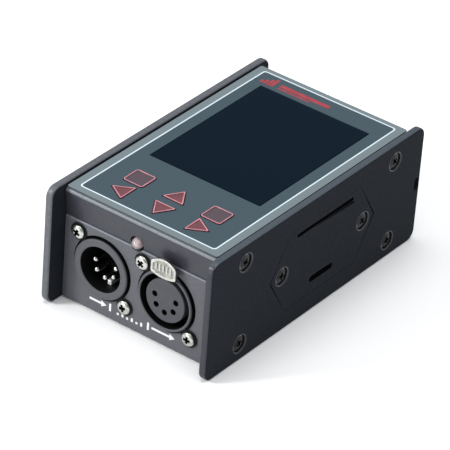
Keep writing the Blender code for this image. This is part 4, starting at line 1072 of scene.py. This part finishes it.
def make_tab(material, relief_polish_highlight):
    """The release tab: a lens-shaped plate with pressed ribs, on its hooked stem."""
    front, back = TAB_LOW.y, TAB_LOW.y + TAB_THICKNESS
    middle_z = CONNECTOR_Z + TAB_LIFT + TAB_END_HEIGHT / 2 + (TAB_UPPER_BULGE - TAB_LOWER_BULGE) / 2
    tab = tab_blank("tab_plate", 0, front, back)
    carve(tab, tab_blank("recess", -TAB_RIM, front - SHEET, front + TAB_RECESS))
    soften(tab, THIN_EDGE, angle=50)
    for number in range(-2, 3):
        spot, half = (TAB_X + number * TAB_RIB_PITCH, middle_z), (TAB_RIB_WIDTH / 2, TAB_RIB_HEIGHT / 2)
        rib = add_bar("rib", "Y", spot, half, front, front + 2 * TAB_RECESS)
        soften(rib, FINE_EDGE)
        weld(tab, rib)
    # The rim and ribs are polished and painted a lighter nickel than the plate: polish and a painted
    # highlight.
    paint(tab, relief_polish_highlight, lambda middle, normal: middle.y < front + TAB_RECESS / 2)
    weld(tab, make_stem(back - TAB_THICKNESS / 2, TAB_HIGH.y))
    finish_piece(tab, material, "bright_nickel", "latch_tab", "release_tab")


# Lamp

def make_lamp(clear, core_material, gap_shade):
    """The status lamp: a clear dome over a small bright core; the dome's rim behind the panel is painted
    black as the shade in the hole round it.
    """
    low, high = corners_of("status_lamp")
    centre = ((low.x + high.x) / 2, (low.z + high.z) / 2)
    rim = (high.x - low.x) / 2
    radius = rim - LAMP_RIM
    rim_front = high.y - LAMP_RIM_THICKNESS
    profile = arc_profile((0, low.y + radius), radius, 270, 360, 14)
    profile += [(radius, rim_front), (rim, rim_front), (rim, high.y), (0, high.y)]
    dome = add_turned("lamp_dome", "Y", centre, profile, 56)
    paint(dome, gap_shade, lambda middle, normal: middle.y > rim_front - HAIR)
    finish_piece(dome, clear, "clear_lamp", "case", "status_lamp")
    core_front = low.y + radius * LAMP_CORE_PLACE
    profile = [(reach, core_front + back) for reach, back in LAMP_CORE_PROFILE]
    profile += [(LAMP_CORE_RADIUS, rim_front), (0, rim_front)]
    finish_piece(add_turned("lamp_core", "Y", centre, profile, 32), core_material, "clear_lamp", "case")


# Screws

def pan_head():
    """The profile of a pan head on a thin washer, over its seat face at z = 0."""
    flank = PAN_HEAD_HEIGHT * PAN_HEAD_FLANK
    profile = [(SCREW_RADIUS, 0), (WASHER_RADIUS, 0), (WASHER_RADIUS, WASHER_THICKNESS),
               (PAN_HEAD_RADIUS, WASHER_THICKNESS)]
    for step in range(9):
        angle = math.radians(90 * step / 8)
        reach = 1 - PAN_HEAD_DOME + PAN_HEAD_DOME * math.cos(angle)
        profile.append((PAN_HEAD_RADIUS * reach, flank + (PAN_HEAD_HEIGHT - flank) * math.sin(angle)))
    return profile + [(0, PAN_HEAD_HEIGHT)]


def sunk_head():
    """The profile of a slightly crowned cone head, its top near z = 0."""
    radius, low_z = SUNK_HEAD_RADIUS, -SUNK_HEAD_CROWN / 2
    profile = [(SCREW_RADIUS, SCREW_RADIUS - radius - SUNK_HEAD_RIM), (radius, -SUNK_HEAD_RIM),
               (radius, low_z)]
    for step in range(1, 7):
        share = 1 - step / 6
        profile.append((radius * share, low_z + SUNK_HEAD_CROWN * (1 - share ** 2)))
    return profile


def model_screw(head, length, rim_material, recess_shade):
    """A screw along +Z with a crossed recess, from its head's profile."""
    top = head[-1][1]
    floor_z = top - RECESS_DEPTH
    thread = [(0, -length), (SCREW_RADIUS - SCREW_POINT, -length), (SCREW_RADIUS, SCREW_POINT - length)]
    screw = add_turned("model", "Z", (0, 0), thread + head, 48)
    for turn in (0, 90):
        half = (RECESS_SPAN / 2, RECESS_WIDTH / 2)
        bar = add_bar("bar", "Z", (0, 0), half, floor_z, top + RECESS_DEPTH)
        select_parts(bar, "FACE", lambda face: face.normal.z < -0.9)
        bpy.ops.transform.resize(value=RECESS_TAPER, center_override=(0, 0, floor_z))
        close_edit()
        bar.rotation_euler = (0, 0, math.radians(turn))
        carve(screw, settle(bar, "bar"))

    # Painted shade: the recess walls and floor are painted black.
    def in_recess(middle, normal):
        walls = middle.xy.length < RECESS_SPAN / 2 and middle.z > floor_z - HAIR and normal.z < 0.5
        return walls or normal.z > 0.9 and abs(middle.z - floor_z) < 3 * HAIR

    # Painted highlight and shade: the outer rim of a sunk head gets a lighter steel; on a pan head the same
    # test takes its washer and flank, painted black.
    paint(screw, rim_material, lambda middle, normal: (
        middle.z > -SUNK_HEAD_RIM and middle.xy.length > SUNK_HEAD_RADIUS * PAINTED_RIM_SHARE))
    paint(screw, recess_shade, in_recess)
    return screw


def place_screw(model, material, name, node, outward, turn):
    """Put a copy of a screw on its seat with its head outward."""
    screw = model.copy()
    screw.data = model.data.copy()
    bpy.context.scene.collection.objects.link(screw)
    seat = middle_of(node)
    if outward.x:
        seat.x = outward.x * (CHEEK_HIGH.x - SUNK_DEPTH)
    else:
        seat.y = SHELL_LOW.y - SEAT
    facing = outward.to_track_quat("Z", "Y").to_matrix() @ Matrix.Rotation(math.radians(turn), 3, "Z")
    screw.matrix_world = Matrix.Translation(seat) @ facing.to_4x4()
    slot = "dark_screw" if outward.x else "bright_nickel"
    finish_piece(settle(screw, name), material, slot, "case", node)


def make_screws(dark, rim_material, bright, recess_shade):
    """The sunk cheek and plate screws and the connector screws, each turned another way."""
    cheek_screw = model_screw(sunk_head(), LONG_SCREW_LENGTH, rim_material, recess_shade)
    plate_screw = model_screw(sunk_head(), SHORT_SCREW_LENGTH, rim_material, recess_shade)
    panel_screw = model_screw(pan_head(), PANEL_SCREW_LENGTH, recess_shade, recess_shade)
    rows = []
    for side, word in ((-1, "left"), (1, "right")):
        for end in (f"{word}_{number}" for number in range(1, 5)):
            rows.append((cheek_screw, dark, f"sunk_screw_{end}", f"cheek_screw_{end}", (side, 0, 0)))
    for word in ("front", "rear"):
        rows.append((plate_screw, dark, f"sunk_screw_plate_{word}", f"plate_screw_{word}", (1, 0, 0)))
    for word in ("male", "female"):
        for number in (1, 2):
            name, node = f"pan_screw_{word}_{number}", f"{word}_screw_{number}"
            rows.append((panel_screw, bright, name, node, (0, -1, 0)))
    for number, (model, material, name, node, outward) in enumerate(rows):
        place_screw(model, material, name, node, Vector(outward), FIRST_TURN + number * TURN_STEP)
    for model in (cheek_screw, plate_screw, panel_screw):
        bpy.data.objects.remove(model)


# Charging socket

def port_blank(name, grow, start, end):
    """The charging socket's opening as a slab along Y, grown on all sides."""
    middle = middle_of("charging_socket")
    half = [reach + grow for reach in PORT_HALF]
    blank = add_bar(name, "Y", (middle.x, middle.z), half, start, end)
    round_corners(blank, "Y", PORT_CORNER + grow, 5)
    return blank


def make_port(material, dark):
    """The charging socket: a drawn sleeve with its rim, and the tongue inside."""
    low, high = corners_of("charging_socket")
    middle = middle_of("charging_socket")
    inner = SHELL_HIGH.y - SHEET - SEAT
    sleeve = port_blank("port_sleeve", PORT_WALL, low.y, high.y)
    weld(sleeve, port_blank("rim", PORT_RIM, inner - PORT_RIM_THICKNESS, inner))
    soften(sleeve, THIN_EDGE, angle=50)
    carve(sleeve, port_blank("hollow", 0, low.y + PORT_FLOOR, high.y + SHEET))
    finish_piece(sleeve, material, "contact_silver", "case", "charging_socket")
    start, end = low.y + PORT_TONGUE_ROOT, high.y - PORT_TONGUE_INSET
    tongue = add_bar("port_tongue", "Y", (middle.x, middle.z), PORT_TONGUE_HALF, start, end)
    soften(tongue, FINE_EDGE)
    finish_piece(tongue, dark, "contact_silver", "case")


# Printed marks

def print_bar(axis, face, low, high):
    """A printed bar between two plane points of a face, a hair proud of it."""
    return add_block("bar", on_axis(axis, low, face - PRINT_PROUD), on_axis(axis, high, face + PRINT_PROUD))


def print_arrowhead(x, z):
    """A printed arrowhead on the panel that points along +X."""
    back, half = x - ARROW_RADIUS / 2, ARROW_RADIUS * math.sin(math.radians(60))
    outline = [(x + ARROW_RADIUS, z), (back, z + half), (back, z - half)]
    return add_slab("head", "Y", outline, SHELL_LOW.y - PRINT_PROUD, SHELL_LOW.y + PRINT_PROUD)


def make_panel_print(material):
    """Generic pictograms under the connectors: signal in, a plain scale, signal out."""
    foot = -END_MARK_HALF
    bars = [(x, -ARROW_LINE_HALF, length, ARROW_LINE_HALF) for x, length in ARROW_LINES]
    bars += [(x, foot, TICK_WIDTH, END_MARK_HALF) for x in END_MARKS]
    for number in range(6):
        bars.append((TICK_START + number * TICK_PITCH, foot, TICK_WIDTH, foot + TICK_HEIGHTS[number % 2]))
    marks = [print_bar("Y", SHELL_LOW.y, (x, PANEL_MARK_Z + low), (x + width, PANEL_MARK_Z + high))
             for x, low, width, high in bars]
    marks += [print_arrowhead(x + length + ARROW_RADIUS / 2, PANEL_MARK_Z) for x, length in ARROW_LINES]
    finish_piece(gather("panel_marks", marks), material, "printed_sheet", "case")


def make_overlay_print(material):
    """Generic red marks at the rear of the overlay: rising bars and two plain lines."""
    bars = [LONG_LINE, SHORT_LINE]
    for number in range(4):
        x = RISING_BAR_START + number * RISING_BAR_PITCH
        top = RISING_BAR_TOP + number * RISING_BAR_STEP
        bars.append(((x, RISING_BAR_FOOT), (x + RISING_BAR_WIDTH, top)))
    marks = [print_bar("Z", OVERLAY_HIGH.z, low, high) for low, high in bars]
    finish_piece(gather("overlay_marks", marks), material, "printed_sheet", "case")


# Light, floor and camera

def add_camera():
    bpy.ops.object.camera_add(location=CAMERA_PLACE)
    camera = bpy.context.object
    facing = (CAMERA_AIM - CAMERA_PLACE).to_track_quat("-Z", "Y").to_matrix()
    camera.rotation_euler = (facing @ Matrix.Rotation(CAMERA_ROLL, 3, "Z")).to_euler()
    camera.data.lens = CAMERA_LENS
    camera.data.sensor_width = CAMERA_SENSOR
    camera.data.clip_end = 10
    bpy.context.scene.camera = camera


def add_area_light(name, place, aim, size, power):
    """A soft square light."""
    bpy.ops.object.light_add(type="AREA", location=place)
    light = bpy.context.object
    light.name = name
    light.rotation_euler = (Vector(aim) - Vector(place)).to_track_quat("-Z", "Y").to_euler()
    light.data.size = size
    light.data.energy = power


def add_studio():
    """Pale floor, white surroundings and soft lights from the upper left front and from above."""
    floor = add_primitive(bpy.ops.mesh.primitive_plane_add, "floor", size=6)
    floor.data.materials.append(even_finish("pale_floor", (0.9, 0.9, 0.9), 0.9, (60, 0.0001, 0.05)))
    world = bpy.data.worlds.new("studio")
    world.use_nodes = True
    background = world.node_tree.nodes["Background"]
    background.inputs["Color"].default_value = (0.92, 0.96, 1, 1)
    background.inputs["Strength"].default_value = 0.5
    bpy.context.scene.world = world
    add_area_light("key_light", (-0.75, -0.85, 0.80), (0, 0, 0.02), 0.30, 13)
    add_area_light("top_light", (0.05, 0.1, 1.3), (0, 0, 0), 1.2, 15)
    add_area_light("low_light", (-0.25, -0.75, 0.10), (-0.02, -0.05, 0.01), 0.15, 1.1)
    bpy.context.scene.view_settings.view_transform = "Standard"


def build():
    """Every piece with its finish, then the studio."""
    # The cheeks' sides, edges and fronts take lit and shaded copies of one coat, darkest on the sides:
    # painted light and shade.
    charcoal = powder_coat("charcoal_coat_fine", (0.015, 0.0172, 0.0215), (0.019, 0.0215, 0.0265), 0.6, 0.03)
    lit_edge_grey = powder_coat("cheek_edge_painted_light", (0.074, 0.079, 0.090), (0.093, 0.098, 0.110), 0.4)
    right_edge_shade_grey = powder_coat("right_cheek_edge_painted_shade", (0.036, 0.048, 0.061), (0.044, 0.057, 0.071), 0.4)
    # The cover's coat is a darker shade of the panel's coat: painted shade on its front band.
    cover_grey = powder_coat("cover_coat_fine", *COVER_GREYS, 0.34, 0.4)
    right_front_shade_grey = powder_coat("right_cheek_front_painted_shade", *COVER_GREYS, 0.34, 0.3)
    panel_grey = powder_coat("panel_coat_fine", (0.074, 0.077, 0.088), (0.088, 0.091, 0.103), 0.42)
    crease_highlight_grey = powder_coat("crease_painted_highlight", (0.128, 0.145, 0.165), (0.152, 0.171, 0.192), 0.4)
    # Black plastic for the pin carrier and the port's tongue; the same black is painted shade in bores,
    # sockets, recesses, slots, sink walls, washers and the gap round the lamp.
    black = moulded_plastic("black_plastic_and_painted_shade", (0.0008, 0.0009, 0.0012), (0.0014, 0.0015, 0.0019), 0.6, 0.2)
    # Sink walls painted black are painted shade; the sinks' rounded edges in the cover's grey are a painted
    # highlight.
    sink_shade_highlight_pair = (black, cover_grey)
    make_cheek("left", charcoal, lit_edge_grey, lit_edge_grey, sink_shade_highlight_pair)
    make_cheek("right", charcoal, right_edge_shade_grey, right_front_shade_grey, sink_shade_highlight_pair)
    make_side_plate(charcoal, sink_shade_highlight_pair)
    make_cover(cover_grey, crease_highlight_grey)
    make_shell(panel_grey, crease_highlight_grey)

    sheet_edge_shade = moulded_plastic("sheet_edge_shade", (0.045, 0.055, 0.065), (0.055, 0.065, 0.075), 0.5, 0.3)
    square_fill = moulded_plastic("square_key_field", (0.055, 0.037, 0.047), (0.066, 0.042, 0.053), 0.45)
    triangle_fill = moulded_plastic("triangle_key_field", (0.110, 0.030, 0.038), (0.135, 0.037, 0.045), 0.45)
    rim = moulded_plastic("key_rim", (0.38, 0.150, 0.180), (0.50, 0.215, 0.250), 0.25)
    make_overlay(overlay_print(), sheet_edge_shade)
    make_border(printed_ink("white_ink", (0.55, 0.63, 0.66)))
    make_window(even_finish("dark_glass", (0.0004, 0.0058, 0.0125), 0.25, (120, 0.00001, 0.05), gloss=0.05))
    for node in KEY_BODIES:
        make_key(node, square_fill if "square" in node else triangle_fill, rim)

    shell_metal = powder_coat("collar_coat", (0.068, 0.071, 0.079), (0.078, 0.081, 0.089), 0.5, 0.3)
    silver = bare_metal("silver_plate", (0.50, 0.50, 0.48), (0.62, 0.62, 0.60), 0.16, 900)
    ridge_metal_highlight = even_finish("ridge_metal_highlight", (0.85, 0.85, 0.83), 0.3, (2500, 0.00001, 0.3), metallic=0.2)
    insert = moulded_plastic("insert_plastic", (0.050, 0.053, 0.062), (0.057, 0.060, 0.069), 0.5, 0.3)
    nickel = bare_metal("bright_plate", (0.44, 0.44, 0.41), (0.60, 0.60, 0.56), 0.25, 1500)
    tab_nickel = bare_metal("tab_plate_nickel", (0.22, 0.218, 0.20), (0.40, 0.395, 0.36), 0.30, 600)
    lamp_core = moulded_plastic("lamp_core_red", (0.60, 0.46, 0.48), (0.80, 0.66, 0.68), 0.3)
    black_oxide = powder_coat("black_oxide", (0.003, 0.003, 0.004), (0.007, 0.007, 0.008), 0.3, 0.2)
    rim_highlight_steel = bare_metal("rim_highlight_steel", (0.07, 0.072, 0.077), (0.13, 0.133, 0.142), 0.3, 1800)
    make_male(shell_metal, black, black, silver, ridge_metal_highlight)
    make_female_shell(shell_metal, black)
    make_insert(insert, black)
    make_tab(tab_nickel, nickel)
    make_lamp(clear_plastic(), lamp_core, black)
    make_screws(black_oxide, rim_highlight_steel, nickel, black)
    make_port(silver, black)
    make_panel_print(printed_ink("panel_ink", (0.72, 0.72, 0.74)))
    make_overlay_print(moulded_plastic("red_ink", (0.26, 0.020, 0.030), (0.32, 0.030, 0.042), 0.5))

    board = moulded_plastic("board_mask", (0.012, 0.075, 0.03), (0.018, 0.10, 0.045), 0.4)
    refinish(board, "main_board", "connector_board")
    refinish(moulded_plastic("battery_film", (0.03, 0.09, 0.2), (0.045, 0.12, 0.26), 0.35), "battery_pack")
    refinish(bare_metal("bezel_steel", (0.3, 0.3, 0.31), (0.42, 0.42, 0.43), 0.4, 700), "display_module")
    refinish(nickel, "board_spacer_1", "board_spacer_2", "board_spacer_3", "board_spacer_4", "tab_spring")
    add_studio()
    add_camera()


build()
